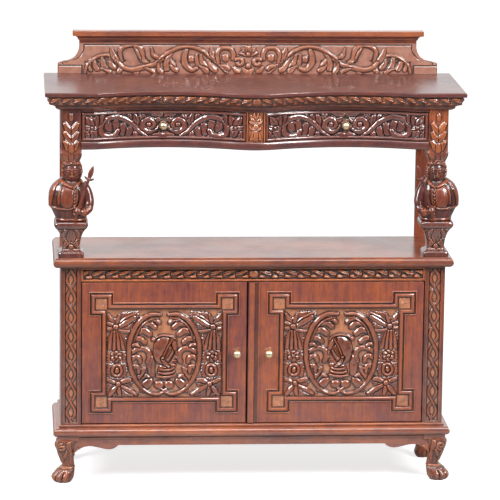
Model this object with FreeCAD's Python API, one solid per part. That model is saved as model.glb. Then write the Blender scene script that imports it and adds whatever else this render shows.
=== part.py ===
import FreeCAD, Part

import math
import os

from FreeCAD import Vector

# Carved two-tier buffet in millimetres, +Z up, front towards -Y.
# The origin is on the floor, in the middle of the overall box.

# Top board with a serpentine front: straight ends, two hollows and a bow in the middle
top_width = 1250.0
top_end_depth = 400.0
top_thickness = 13.0
top_edge_ease = 2.5
hollow_outer_x = 470.0
hollow_depth = 42.0
bow_half_width = 70.0

# Heights of the tiers, from the floor up
foot_height = 146.0
base_height = 35.0
door_opening_height = 440.0
head_rail_height = 44.0
shelf_thickness = 30.0
open_bay_height = 326.0
bottom_rail_height = 24.0
drawer_opening_height = 90.0
top_rail_height = 6.0
cornice_height = 43.0
gallery_height = 104.0
cap_height = 29.0

# Where the case stands under the top
side_overhang = 48.0
front_overhang = 42.0
back_setback = 50.0

# Cornice under the top: a carved ovolo over a small lower moulding
cornice_ledge = 10.0
cornice_rail_width = 70.0
cornice_height_shares = (1.00, 0.82, 0.60, 0.44, 0.36, 0.22, 0.12, 0.00)
cornice_inset_shares = (0.00, 0.04, 0.14, 0.30, 0.62, 0.70, 0.80, 1.00)

# Gallery board and its cap
gallery_thickness = 16.0
gallery_base_width = 1165.0
gallery_neck_width = 1034.0
gallery_cove_radius = 46.0
gallery_neck_height = 19.0
gallery_shoulder_drop = 6.0
cap_projection = 20.0
cap_fillet_height = 15.0
cap_foot_projection = 3.0

# Front columns: post, half figure with a spear, pedestal
post_width = 60.0
post_foot_width = 46.0
post_foot_height = 24.0
pedestal_height = 110.0
pedestal_width = 102.0
pedestal_corner_share = 0.16
pedestal_height_shares = (0.00, 0.12, 0.19, 0.22, 0.30, 0.58, 0.78, 0.84, 0.86, 0.95, 1.00)
pedestal_width_shares = (0.76, 0.76, 0.62, 0.53, 0.53, 0.60, 0.76, 0.86, 0.96, 1.00, 0.96)
figure_height = 206.0
figure_width = 128.0
figure_depth = 96.0
figure_corner_share = 0.86
figure_height_shares = (0.00, 0.08, 0.16, 0.26, 0.36, 0.46, 0.54, 0.58, 0.66, 0.76, 0.86, 0.93, 1.00)
figure_width_shares = (0.66, 0.74, 0.90, 1.00, 0.95, 0.80, 0.56, 0.44, 0.48, 0.50, 0.48, 0.40, 0.44)
figure_depth_shares = (0.76, 0.80, 0.92, 1.00, 0.96, 0.82, 0.62, 0.52, 0.60, 0.66, 0.62, 0.52, 0.56)
fist_radius = 11.0
fist_stand = 5.0
fist_share = 0.22
spear_radius = 4.0
spear_butt_offset = 15.0
spear_butt_height = 19.0
spear_reach = 51.0
spear_rise = 149.0
spear_head_length = 44.0
spear_head_radius = 8.0
spear_guard_length = 5.0
grip_clearance = 0.05

# Rear posts, frieze boards and drawer framing
rear_post_width = 60.0
rear_post_depth = 18.0
frieze_board = 18.0
rail_depth = 30.0
bottom_rail_lip = 4.0
divider_width = 55.0
partition_thickness = 18.0
runner_bearing = 18.0
runner_height = 18.0
guide_height = 20.0

# Middle shelf and base moulding
shelf_projection = 23.0
base_projection = 23.0
base_nose_height = 25.0
base_nose_inset = 10.0
base_cove_height = 2.0
base_bead_projection = 7.0
base_bead_inset = 4.0

# Lower cabinet
stile_width = 60.0
stile_depth = 30.0
side_panel = 20.0
back_panel = 12.0
inner_shelf_thickness = 18.0
inner_shelf_share = 0.48
inner_shelf_clearance = 1.0
pin_radius = 3.5
pin_length = 24.0
pin_setback = 40.0

# Apron and feet
apron_thickness = 20.0
apron_setback = 6.0
apron_height = 29.0
apron_drop = 13.0
apron_cusp_x = 404.0
apron_drop_x = 434.0
apron_arch_x = 486.0
apron_arch_rise = 10.0
foot_block_width = 66.0
foot_block_height = 14.0
foot_inset = 12.0
rear_foot_setback = 2.0
foot_corner_share = 0.86
foot_height_shares = (0.00, 0.04, 0.10, 0.16, 0.235, 0.295, 0.36, 0.40, 0.54, 0.69, 0.86, 1.00)
foot_forward_shares = (0.25, 0.29, 0.29, 0.26, 0.18, 0.12, 0.02, -0.01, 0.05, 0.10, 0.14, 0.06)
foot_length_shares = (0.36, 0.45, 0.53, 0.53, 0.47, 0.42, 0.27, 0.25, 0.27, 0.33, 0.39, 0.48)
foot_breadth_shares = (0.34, 0.42, 0.48, 0.48, 0.44, 0.38, 0.26, 0.245, 0.26, 0.32, 0.38, 0.48)
toe_angle = -25.0
rear_foot_slim = 0.75
bracket_width = 26.0
bracket_drop = 13.0

# Doors, hung on concealed pivots
door_gap = 3.0
meeting_gap = 4.0
door_recess = 1.5
door_thickness = 22.0
panel_thickness = 10.0
panel_recess = 4.0
panel_groove = 8.0
groove_clearance = 0.3
moulding_margin_x = 20.0
moulding_margin_z = 28.0
moulding_band = 15.0
moulding_rise = 7.0
moulding_slope = 4.0
ear_size = 66.0
ear_offset = 33.0
astragal_width = 36.0
astragal_rise = 3.0
astragal_bead_radius = 4.0
astragal_fillet_share = 0.55
pivot_inset = 9.0
pivot_depth = 6.0
pivot_radius = 3.0
pivot_clearance = 0.05
pivot_plate_length = 40.0
pivot_plate_width = 11.0
pivot_plate_thickness = 2.5
catch_inset = 30.0
catch_radius = 5.0
catch_length = 18.0
catch_ball_radius = 4.0
catch_ball_rise = 1.5
catch_clearance = 0.05
strike_length = 30.0
strike_width = 14.0
strike_thickness = 2.0

# Drawers
drawer_gap = 1.5
drawer_head_gap = 3.0
drawer_recess = 2.0
drawer_front_thickness = 20.0
drawer_side_thickness = 12.0
drawer_side_drop = 12.0
drawer_bottom_thickness = 6.0
drawer_bottom_lift = 10.0
drawer_bottom_groove = 5.0
drawer_back_gap = 14.0
runner_gap = 0.3

# Brass knobs
knob_radius = 12.5
knob_neck_radius = 5.0
knob_neck_length = 7.0
knob_rose_radius = 9.0
knob_rose_thickness = 3.0
knob_stud_radius = 3.0
knob_stud_clearance = 0.05
door_knob_inset = 28.0

# Overrun of every cut
overrun = 5.0

# Serpentine front worked out from its driving sizes
hollow_mid_x = (hollow_outer_x + bow_half_width) / 2
hollow_half_chord = (hollow_outer_x - bow_half_width) / 2
hollow_radius = (hollow_half_chord ** 2 + hollow_depth ** 2) / (2 * hollow_depth)
bow_angle = math.asin(hollow_half_chord / hollow_radius)
bow_radius = bow_half_width / math.sin(bow_angle)
bow_rise = bow_radius * (1 - math.cos(bow_angle))

# Plan
overall_depth = top_end_depth + bow_rise
back_y = overall_depth / 2
end_front_y = bow_rise - overall_depth / 2
face_y = end_front_y + front_overhang
case_back_y = back_y - back_setback
frame_half = top_width / 2 - side_overhang
post_inner_x = frame_half - post_width
column_x = frame_half - post_width / 2
column_y = face_y + post_width / 2
opening_half = frame_half - stile_width
divider_half = divider_width / 2
gallery_front_y = back_y - gallery_thickness

# Levels
base_z = foot_height
case_z = base_z + base_height
head_rail_z = case_z + door_opening_height
shelf_z = head_rail_z + head_rail_height
deck_z = shelf_z + shelf_thickness
figure_z = deck_z + pedestal_height
post_z = figure_z + figure_height
bottom_rail_z = deck_z + open_bay_height
drawer_z = bottom_rail_z + bottom_rail_height
top_rail_z = drawer_z + drawer_opening_height
cornice_z = top_rail_z + top_rail_height
top_z = cornice_z + cornice_height
gallery_z = top_z + top_thickness
cap_z = gallery_z + gallery_height

# Doors
door_face_y = face_y + door_recess
door_back_y = door_face_y + door_thickness
door_bottom_z = case_z + door_gap
door_top_z = head_rail_z - door_gap
door_edge_x = opening_half - door_gap
meeting_x = -astragal_width / 2
left_meeting_x = meeting_x - meeting_gap / 2
right_meeting_x = meeting_x + meeting_gap / 2
pivot_x = door_edge_x - pivot_inset
pivot_y = door_face_y + pivot_depth
frame_width_x = moulding_margin_x + ear_offset + moulding_band
frame_width_z = moulding_margin_z + ear_offset + moulding_band
panel_front_y = door_face_y + panel_recess
panel_back_y = panel_front_y + panel_thickness

# Drawers
drawer_outer_x = post_inner_x - drawer_gap
drawer_inner_x = divider_half + drawer_gap
drawer_face_inset = front_overhang + drawer_recess
drawer_rear_inset = drawer_face_inset + drawer_front_thickness
drawer_knob_x = (drawer_outer_x + drawer_inner_x) / 2
drawer_front_z = drawer_z + drawer_gap
drawer_top_z = top_rail_z - drawer_head_gap
drawer_side_z = drawer_z + runner_gap
drawer_side_top_z = drawer_top_z - drawer_side_drop
frieze_back_front_y = case_back_y - frieze_board
drawer_back_y = frieze_back_front_y - drawer_back_gap
frieze_side_x = frame_half - frieze_board


def box(x_range, y_range, z_range):
    corner = Vector(x_range[0], y_range[0], z_range[0])
    return Part.makeBox(x_range[1] - x_range[0], y_range[1] - y_range[0], z_range[1] - z_range[0], corner)


def cylinder(radius, length, base, direction):
    return Part.makeCylinder(radius, length, base, direction)


def mirrored(shape):
    return shape.mirror(Vector(0, 0, 0), Vector(1, 0, 0))


def line(start, end):
    return Part.LineSegment(start, end).toShape()


def arc(start, middle, end):
    return Part.Arc(start, middle, end).toShape()


def polygon_face(points):
    return Part.Face(Part.makePolygon(points + points[:1]))


def save(name, *shapes):
    shape = shapes[0] if len(shapes) == 1 else Part.makeCompound(list(shapes))
    shape.exportStep("parts/" + name + ".step")


# The serpentine line, set back from the edge of the top by an inset
def serpentine(inset):
    end_y = end_front_y + inset
    hollow_y = end_front_y + hollow_depth - hollow_radius
    radius = hollow_radius + inset
    corner_x = hollow_mid_x + math.sqrt(radius ** 2 - (end_y - hollow_y) ** 2)
    valley_y = hollow_y + radius
    bow_y = bow_radius - overall_depth / 2
    nose_y = inset - overall_depth / 2
    tangent_x = (bow_radius - inset) * math.sin(bow_angle)
    tangent_y = bow_y - (bow_radius - inset) * math.cos(bow_angle)
    return end_y, corner_x, valley_y, tangent_x, tangent_y, nose_y


def front_y_at(x, inset):
    end_y, corner_x, valley_y, tangent_x, tangent_y, nose_y = serpentine(inset)
    distance = abs(x)
    if distance >= corner_x:
        return end_y
    if distance >= tangent_x:
        radius = hollow_radius + inset
        return valley_y - radius + math.sqrt(radius ** 2 - (distance - hollow_mid_x) ** 2)
    radius = bow_radius - inset
    return nose_y + radius - math.sqrt(radius ** 2 - distance ** 2)


def plan_wire(inset, half_width, rear_y, z):
    end_y, corner_x, valley_y, tangent_x, tangent_y, nose_y = serpentine(inset)
    left_end = Vector(-half_width, end_y, z)
    left_corner = Vector(-corner_x, end_y, z)
    left_valley = Vector(-hollow_mid_x, valley_y, z)
    left_tangent = Vector(-tangent_x, tangent_y, z)
    nose = Vector(0, nose_y, z)
    right_tangent = Vector(tangent_x, tangent_y, z)
    right_valley = Vector(hollow_mid_x, valley_y, z)
    right_corner = Vector(corner_x, end_y, z)
    right_end = Vector(half_width, end_y, z)
    right_rear = Vector(half_width, rear_y, z)
    left_rear = Vector(-half_width, rear_y, z)
    return Part.Wire([
        line(left_end, left_corner),
        arc(left_corner, left_valley, left_tangent),
        arc(left_tangent, nose, right_tangent),
        arc(right_tangent, right_valley, right_corner),
        line(right_corner, right_end),
        line(right_end, right_rear),
        line(right_rear, left_rear),
        line(left_rear, left_end),
    ])


# A board whose front and back both follow the serpentine line
def curved_board(front_inset, rear_inset, x_range, z_range):
    height = Vector(0, 0, z_range[1] - z_range[0])
    outer = Part.Face(plan_wire(front_inset, top_width / 2, back_y, z_range[0])).extrude(height)
    inner = Part.Face(plan_wire(rear_inset, top_width / 2, back_y, z_range[0])).extrude(height)
    return outer.cut(inner).common(box(x_range, (-back_y, back_y), z_range))


# Everything behind the serpentine line, between two heights
def behind_front(inset, z_range):
    face = Part.Face(plan_wire(inset, top_width / 2, back_y, z_range[0]))
    return face.extrude(Vector(0, 0, z_range[1] - z_range[0]))


# A closed wire with four straight sides and four round corners
def rounded_wire(centre, half_x, half_y, corner_share):
    radius = corner_share * min(half_x, half_y)
    bend = radius * (1 - math.sqrt(0.5))
    edges = []
    for turn in range(4):
        along, across = (half_x, half_y) if turn % 2 == 0 else (half_y, half_x)
        points = [
            Vector(along, radius - across, 0),
            Vector(along, across - radius, 0),
            Vector(along - bend, across - bend, 0),
            Vector(along - radius, across, 0),
        ]
        spin = FreeCAD.Rotation(Vector(0, 0, 1), 90 * turn)
        first, second, middle, last = [centre + spin.multVec(point) for point in points]
        edges.append(line(first, second))
        edges.append(arc(second, middle, last))
    return Part.Wire(edges)


# A slab whose front and side edges carry one moulded profile.
# The profile is a list of edges given as points (projection, height).
def moulded_slab(profile, half_width, front_y, rear_y):
    def edges_at(place):
        shapes = []
        for points in profile:
            placed = [place(projection, height) for projection, height in points]
            shapes.append(line(*placed) if len(placed) == 2 else arc(*placed))
        return shapes

    low = profile[0][0]
    high = profile[-1][-1]
    reach = max(point[0] for points in profile for point in points) + overrun
    span_x = half_width + reach

    def front_point(projection, height):
        return Vector(-span_x, front_y - projection, height)

    def right_point(projection, height):
        return Vector(half_width + projection, front_y - reach, height)

    def left_point(projection, height):
        return Vector(-half_width - projection, front_y - reach, height)

    rear_low = Vector(-span_x, rear_y, low[1])
    rear_high = Vector(-span_x, rear_y, high[1])
    lengthwise = edges_at(front_point)
    lengthwise.append(line(front_point(*high), rear_high))
    lengthwise.append(line(rear_high, rear_low))
    lengthwise.append(line(rear_low, front_point(*low)))
    crosswise = edges_at(right_point) + edges_at(left_point)
    crosswise.append(line(right_point(*high), left_point(*high)))
    crosswise.append(line(right_point(*low), left_point(*low)))
    long_face = Part.Face(Part.Wire(Part.__sortEdges__(lengthwise)))
    cross_face = Part.Face(Part.Wire(Part.__sortEdges__(crosswise)))
    long_solid = long_face.extrude(Vector(2 * span_x, 0, 0))
    cross_solid = cross_face.extrude(Vector(0, rear_y - front_y + reach, 0))
    return long_solid.common(cross_solid)


# Top board and cornice: lofts through serpentine outlines
def serpentine_slab(heights, insets):
    wires = []
    for height, inset in zip(heights, insets):
        wires.append(plan_wire(inset, top_width / 2 - inset, back_y, height))
    return Part.makeLoft(wires, True, True)


def make_top_board():
    heights = (top_z, top_z + top_edge_ease, gallery_z - top_edge_ease, gallery_z)
    insets = (top_edge_ease, 0, 0, top_edge_ease)
    save("top_board", serpentine_slab(heights, insets))


def make_cornice():
    heights = [cornice_z + share * cornice_height for share in cornice_height_shares]
    depth = front_overhang - cornice_ledge
    insets = [cornice_ledge + share * depth for share in cornice_inset_shares]
    slab = serpentine_slab(heights, insets)
    z_range = (cornice_z, top_z)
    half = top_width / 2
    front_rear_y = face_y + cornice_rail_width
    rear_front_y = case_back_y - cornice_rail_width
    side_inner_x = frame_half - cornice_rail_width
    save("cornice_front", slab.common(box((-half, half), (-back_y, front_rear_y), z_range)))
    right = slab.common(box((side_inner_x, half), (front_rear_y, case_back_y), z_range))
    save("cornice_returns", mirrored(right), right)
    save("cornice_back", box((-side_inner_x, side_inner_x), (rear_front_y, case_back_y), z_range))


def make_gallery():
    base_half = gallery_base_width / 2
    neck_half = gallery_neck_width / 2
    cove_half = neck_half + gallery_cove_radius
    neck_z = cap_z - gallery_neck_height
    cove_z = neck_z - gallery_cove_radius
    shoulder_z = cove_z - gallery_shoulder_drop
    bend = gallery_cove_radius * (1 - math.sqrt(0.5))
    y = gallery_front_y
    edges = [line(Vector(-base_half, y, gallery_z), Vector(base_half, y, gallery_z))]
    for side in (1, -1):
        foot = Vector(side * base_half, y, gallery_z)
        shoulder = Vector(side * base_half, y, shoulder_z)
        cove = Vector(side * cove_half, y, cove_z)
        middle = Vector(side * (neck_half + bend), y, cove_z + bend)
        neck = Vector(side * neck_half, y, neck_z)
        head = Vector(side * neck_half, y, cap_z)
        edges.append(line(foot, shoulder))
        edges.append(line(shoulder, cove))
        edges.append(arc(cove, middle, neck))
        edges.append(line(neck, head))
    edges.append(line(Vector(-neck_half, y, cap_z), Vector(neck_half, y, cap_z)))
    face = Part.Face(Part.Wire(Part.__sortEdges__(edges)))
    save("gallery_board", face.extrude(Vector(0, gallery_thickness, 0)))


def make_gallery_cap():
    fillet_z = cap_z + cap_height - cap_fillet_height
    cove = cap_projection - cap_foot_projection
    bend_x = cove * (1 - math.sqrt(0.5))
    bend_z = (fillet_z - cap_z) * math.sqrt(0.5)
    cove_middle = (cap_foot_projection + bend_x, cap_z + bend_z)
    profile = [
        [(cap_foot_projection, cap_z), cove_middle, (cap_projection, fillet_z)],
        [(cap_projection, fillet_z), (cap_projection, cap_z + cap_height)],
    ]
    save("gallery_cap", moulded_slab(profile, gallery_neck_width / 2, gallery_front_y, back_y))


# Front columns, made on the right and mirrored to the left
def column_loft(shares, sizes, low_z, corner_share):
    width, depth, height = sizes
    wires = []
    for across, along, up in zip(*shares):
        centre = Vector(column_x, column_y, low_z + up * height)
        wires.append(rounded_wire(centre, across * width / 2, along * depth / 2, corner_share))
    return Part.makeLoft(wires, True, True)


def make_posts():
    shoulder_z = post_z + post_foot_height
    wires = []
    for width, z in ((post_foot_width, post_z), (post_width, shoulder_z), (post_width, cornice_z)):
        wires.append(rounded_wire(Vector(column_x, column_y, z), width / 2, width / 2, pedestal_corner_share))
    square_shaft = box(
        (column_x - post_width / 2, column_x + post_width / 2),
        (column_y - post_width / 2, column_y + post_width / 2),
        (shoulder_z, cornice_z),
    )
    right = Part.makeLoft(wires, True, True).fuse(square_shaft).removeSplitter()
    save("left_front_post", mirrored(right))
    save("right_front_post", right)


def make_pedestals():
    sizes = (pedestal_width, pedestal_width, pedestal_height)
    shares = (pedestal_width_shares, pedestal_width_shares, pedestal_height_shares)
    right = column_loft(shares, sizes, deck_z, pedestal_corner_share)
    save("left_pedestal", mirrored(right))
    save("right_pedestal", right)


# The spear leans inwards through the fist of the half figure
def make_figures():
    spear_length = math.hypot(spear_reach, spear_rise)
    direction = Vector(-spear_reach, 0, spear_rise)
    spear_y = column_y - figure_depth / 2 - fist_stand
    butt = Vector(column_x - spear_butt_offset, spear_y, figure_z + spear_butt_height)
    fist_centre = butt + direction * fist_share
    head_base = butt + direction * ((spear_length - spear_head_length) / spear_length)
    guard_base = head_base - direction * (spear_guard_length / spear_length)
    sizes = (figure_width, figure_depth, figure_height)
    shares = (figure_width_shares, figure_depth_shares, figure_height_shares)
    body = column_loft(shares, sizes, figure_z, figure_corner_share)
    fist = Part.makeSphere(fist_radius, fist_centre)
    grip = cylinder(spear_radius + grip_clearance, spear_length, butt, direction)
    figure = body.fuse(fist).cut(grip)
    shaft = cylinder(spear_radius, spear_length - spear_head_length, butt, direction)
    guard = cylinder(spear_head_radius, spear_guard_length, guard_base, direction)
    head = Part.makeCone(spear_head_radius, 0, spear_head_length, head_base, direction)
    spear = shaft.fuse([guard, head]).removeSplitter()
    save("left_figure", mirrored(figure))
    save("right_figure", figure)
    save("spears", mirrored(spear), spear)


# Rear posts and the boards round the drawers
def make_upper_case():
    rear_inner_x = frame_half - rear_post_width
    rear_post_y = case_back_y - rear_post_depth
    post_rear_y = face_y + post_width
    right_post = box((rear_inner_x, frame_half), (rear_post_y, case_back_y), (deck_z, cornice_z))
    save("rear_posts", mirrored(right_post), right_post)
    frieze_z = (bottom_rail_z, cornice_z)
    right_side = box((frieze_side_x, frame_half), (post_rear_y, rear_post_y), frieze_z)
    save("frieze_sides", mirrored(right_side), right_side)
    back_y_range = (frieze_back_front_y, case_back_y)
    save("frieze_back", box((-rear_inner_x, rear_inner_x), back_y_range, frieze_z))


def make_drawer_framing():
    between_posts = (-post_inner_x, post_inner_x)
    lip_inset = front_overhang - bottom_rail_lip
    rear_inset = front_overhang + rail_depth
    bottom_rail = curved_board(lip_inset, rear_inset, between_posts, (bottom_rail_z, drawer_z))
    save("drawer_bottom_rail", bottom_rail)
    save("drawer_top_rail", curved_board(front_overhang, rear_inset, between_posts, (top_rail_z, cornice_z)))
    divider_x = (-divider_half, divider_half)
    save("drawer_divider", curved_board(front_overhang, rear_inset, divider_x, (drawer_z, top_rail_z)))
    partition_half = partition_thickness / 2
    slab = box((-partition_half, partition_half), (-back_y, frieze_back_front_y), (bottom_rail_z, cornice_z))
    save("drawer_partition", slab.common(behind_front(rear_inset, (bottom_rail_z, cornice_z))))


# L-shaped strips: a ledge under each drawer side and a guide beside it
def runner(ledge_x, guide_x):
    y_range = (-back_y, frieze_back_front_y)
    ledge = box(ledge_x, y_range, (drawer_z - runner_height, drawer_z))
    guide = box(guide_x, y_range, (drawer_z, drawer_z + guide_height))
    return ledge.fuse(guide).removeSplitter()


def make_runners():
    z_range = (drawer_z - runner_height, drawer_z + guide_height)
    room = behind_front(front_overhang + rail_depth, z_range)
    partition_half = partition_thickness / 2
    inner = runner((partition_half, divider_half + runner_bearing), (partition_half, divider_half))
    outer = runner((post_inner_x - runner_bearing, frieze_side_x), (post_inner_x, frieze_side_x))
    front_post = box((post_inner_x, frame_half), (face_y, face_y + post_width), z_range)
    rear_post = box(
        (frame_half - rear_post_width, frame_half),
        (case_back_y - rear_post_depth, case_back_y),
        z_range,
    )
    ahead_of_post = box((post_inner_x, frame_half), (-back_y, face_y), z_range)
    inner = inner.common(room)
    outer = outer.common(room).cut([front_post, rear_post, ahead_of_post])
    save("drawer_runners", mirrored(outer), mirrored(inner), inner, outer)


# Middle shelf with a half round edge on the front and sides
def make_middle_shelf():
    radius = shelf_thickness / 2
    flat = shelf_projection - radius
    profile = [[(flat, shelf_z), (shelf_projection, shelf_z + radius), (flat, deck_z)]]
    save("middle_shelf", moulded_slab(profile, frame_half, face_y, case_back_y))


# Base board and the moulding round it: round nose, cove and bead
def make_base():
    board = box((-frame_half, frame_half), (face_y, case_back_y), (base_z, case_z))
    lower_plate = pivot_plate_box(-pivot_x, (case_z - pivot_plate_thickness, case_z))
    save("base_board", board.cut([lower_plate, mirrored(lower_plate)]))
    nose_top_z = base_z + base_nose_height
    nose_root = base_projection - base_nose_inset
    cove_top_z = nose_top_z + base_cove_height
    bead_root = base_bead_projection - base_bead_inset
    cove_depth = nose_root - bead_root
    cove_middle = (
        nose_root - cove_depth * math.sqrt(0.5),
        nose_top_z + base_cove_height * (1 - math.sqrt(0.5)),
    )
    profile = [
        [(nose_root, base_z), (base_projection, base_z + base_nose_height / 2), (nose_root, nose_top_z)],
        [(nose_root, nose_top_z), cove_middle, (bead_root, cove_top_z)],
        [(bead_root, cove_top_z), (base_bead_projection, (cove_top_z + case_z) / 2), (bead_root, case_z)],
    ]
    ring = moulded_slab(profile, frame_half, face_y, case_back_y).cut(board)
    reach = base_projection + overrun
    right_plan = [
        Vector(frame_half, face_y, base_z),
        Vector(frame_half + reach, face_y - reach, base_z),
        Vector(frame_half + reach, case_back_y, base_z),
        Vector(frame_half, case_back_y, base_z),
    ]
    mitre = polygon_face(right_plan).extrude(Vector(0, 0, base_height))
    right = ring.common(mitre)
    save("base_moulding_front", ring.cut(mitre).cut(mirrored(mitre)))
    save("base_moulding_returns", mirrored(right), right)


# Front apron with a shaped lower edge, between the foot blocks
def make_apron():
    end_x = frame_half + base_projection - foot_inset - foot_block_width
    y = face_y - base_projection + foot_inset + apron_setback
    edge_z = base_z - apron_height
    drop_z = edge_z - apron_drop
    arch_z = drop_z + apron_arch_rise
    edges = [line(Vector(-end_x, y, base_z), Vector(end_x, y, base_z))]
    for side in (1, -1):
        top = Vector(side * end_x, y, base_z)
        heel = Vector(side * end_x, y, drop_z)
        arch = Vector(side * apron_arch_x, y, arch_z)
        between = Vector(side * (apron_arch_x + apron_drop_x) / 2, y, (arch_z + drop_z) / 2)
        drop = Vector(side * apron_drop_x, y, drop_z)
        cusp = Vector(side * apron_cusp_x, y, edge_z)
        wave = Part.BSplineCurve()
        wave.interpolate([heel, arch, between, drop, cusp])
        edges.append(line(top, heel))
        edges.append(wave.toShape())
    edges.append(line(Vector(-apron_cusp_x, y, edge_z), Vector(apron_cusp_x, y, edge_z)))
    face = Part.Face(Part.Wire(Part.__sortEdges__(edges)))
    save("front_apron", face.extrude(Vector(0, apron_thickness, 0)))


# A short cabriole leg on a paw, the toe turned by an angle from +X; reach and slim scale the paw
def foot(x, y, angle, reach, slim):
    leg_height = foot_height - foot_block_height
    wires = []
    shares = zip(foot_height_shares, foot_forward_shares, foot_length_shares, foot_breadth_shares)
    for up, forward, length, breadth in shares:
        centre = Vector(reach * forward * foot_block_width, 0, up * leg_height)
        half_length = slim * length * foot_block_width
        half_breadth = slim * breadth * foot_block_width
        wires.append(rounded_wire(centre, half_length, half_breadth, foot_corner_share))
    leg = Part.makeLoft(wires, True, True)
    leg.rotate(Vector(0, 0, 0), Vector(0, 0, 1), angle)
    half = foot_block_width / 2
    block = box((-half, half), (-half, half), (leg_height, foot_height))
    whole = leg.fuse(block)
    whole.translate(Vector(x, y, 0))
    return whole


# Wing of a front foot that carries the lower line of the apron to the leg
def foot_bracket():
    inner_x = frame_half + base_projection - foot_inset - foot_block_width
    y = face_y - base_projection + foot_inset + apron_setback
    heel_z = base_z - apron_height - apron_drop
    outline = [
        Vector(inner_x, y, base_z),
        Vector(inner_x, y, heel_z),
        Vector(inner_x + bracket_width, y, heel_z - bracket_drop),
        Vector(inner_x + bracket_width, y, base_z),
    ]
    return polygon_face(outline).extrude(Vector(0, apron_thickness, 0))


def make_feet():
    half = foot_block_width / 2
    foot_x = frame_half + base_projection - foot_inset - half
    front_foot_y = face_y - base_projection + foot_inset + half
    rear_foot_y = case_back_y - rear_foot_setback - half
    front_right = foot(foot_x, front_foot_y, toe_angle, 1, 1).fuse(foot_bracket()).removeSplitter()
    rear_right = foot(foot_x, rear_foot_y, 0, 0, rear_foot_slim).removeSplitter()
    save("front_left_foot", mirrored(front_right))
    save("front_right_foot", front_right)
    save("rear_left_foot", mirrored(rear_right))
    save("rear_right_foot", rear_right)


# Lower cabinet
def make_shelf_pins():
    inner_x = frame_half - side_panel
    shelf_bottom_z = case_z + inner_shelf_share * door_opening_height
    pin_z = shelf_bottom_z - pin_radius
    start_x = inner_x - pin_length / 2
    pins = []
    bores = []
    for y in (door_back_y + pin_setback, case_back_y - back_panel - pin_setback):
        base = Vector(start_x, y, pin_z)
        pins.append(cylinder(pin_radius, pin_length, base, Vector(1, 0, 0)))
        bores.append(cylinder(pin_radius + grip_clearance, pin_length, base, Vector(1, 0, 0)))
    save("shelf_pins", *([mirrored(pin) for pin in pins] + pins))
    return bores


def make_cabinet():
    bores = make_shelf_pins()
    case_range = (case_z, shelf_z)
    stile_rear_y = face_y + stile_depth
    inner_x = frame_half - side_panel
    right_stile = box((opening_half, frame_half), (face_y, stile_rear_y), case_range)
    save("left_stile", mirrored(right_stile))
    save("right_stile", right_stile)
    right_panel = box((inner_x, frame_half), (stile_rear_y, case_back_y), case_range).cut(bores)
    save("side_panels", mirrored(right_panel), right_panel)
    save("cabinet_back", box((-inner_x, inner_x), (case_back_y - back_panel, case_back_y), case_range))
    shelf_half = inner_x - inner_shelf_clearance
    shelf_bottom_z = case_z + inner_shelf_share * door_opening_height
    shelf_y = (door_back_y + pin_setback / 2, case_back_y - back_panel - inner_shelf_clearance)
    shelf_z_range = (shelf_bottom_z, shelf_bottom_z + inner_shelf_thickness)
    save("inner_shelf", box((-shelf_half, shelf_half), shelf_y, shelf_z_range))


# Pivot plates in the case carry pins that turn in sockets let into the door edges
def pivot_plate_box(x, z_range):
    x_range = (x - pivot_inset + door_gap, x - pivot_inset + door_gap + pivot_plate_length)
    return box(x_range, (pivot_y - pivot_plate_width / 2, pivot_y + pivot_plate_width / 2), z_range)


def pivot_shapes():
    low_case = (case_z - pivot_plate_thickness, case_z)
    low_door = (door_bottom_z, door_bottom_z + pivot_plate_thickness)
    high_case = (head_rail_z, head_rail_z + pivot_plate_thickness)
    high_door = (door_top_z - pivot_plate_thickness, door_top_z)
    pin_length = door_gap + pivot_plate_thickness
    plates = []
    sockets = []
    bores = []
    for case_range, door_range, pin_z in (
        (low_case, low_door, case_z),
        (high_case, high_door, head_rail_z - pin_length),
    ):
        base = Vector(-pivot_x, pivot_y, pin_z)
        pin = cylinder(pivot_radius, pin_length, base, Vector(0, 0, 1))
        bore = cylinder(pivot_radius + pivot_clearance, pin_length, base, Vector(0, 0, 1))
        plates.append(pivot_plate_box(-pivot_x, case_range).fuse(pin).removeSplitter())
        sockets.append(pivot_plate_box(-pivot_x, door_range).cut(bore))
        bores.append(pivot_plate_box(-pivot_x, door_range))
    return plates, sockets, bores


def catch_shapes(x):
    base = Vector(x, (door_face_y + door_back_y) / 2, door_top_z - catch_length)
    barrel = cylinder(catch_radius, catch_length, base, Vector(0, 0, 1))
    ball_z = door_top_z + catch_ball_rise - catch_ball_radius
    ball = Part.makeSphere(catch_ball_radius, Vector(base.x, base.y, ball_z))
    bore = cylinder(catch_radius + catch_clearance, catch_length + overrun, base, Vector(0, 0, 1))
    strike = box(
        (x - strike_length / 2, x + strike_length / 2),
        (base.y - strike_width / 2, base.y + strike_width / 2),
        (head_rail_z, head_rail_z + strike_thickness),
    )
    dimple = cylinder(catch_ball_radius, strike_thickness, Vector(x, base.y, head_rail_z), Vector(0, 0, 1))
    return barrel.fuse(ball).removeSplitter(), bore, strike.cut(dimple), strike


# The knob stands on its rose at the origin, its stud below, and then turns to face -Y
def knob(x, seat_y, z, stud_length):
    stud = cylinder(knob_stud_radius, stud_length, Vector(0, 0, -stud_length), Vector(0, 0, 1))
    rose = cylinder(knob_rose_radius, knob_rose_thickness, Vector(0, 0, 0), Vector(0, 0, 1))
    neck_top = knob_rose_thickness + knob_neck_length
    neck = cylinder(knob_neck_radius, neck_top, Vector(0, 0, 0), Vector(0, 0, 1))
    ball_z = neck_top + math.sqrt(knob_radius ** 2 - knob_neck_radius ** 2)
    ball = Part.makeSphere(knob_radius, Vector(0, 0, ball_z))
    whole = stud.fuse([rose, neck, ball]).removeSplitter()
    whole.rotate(Vector(0, 0, 0), Vector(1, 0, 0), 90)
    whole.translate(Vector(x, seat_y, z))
    return whole


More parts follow.
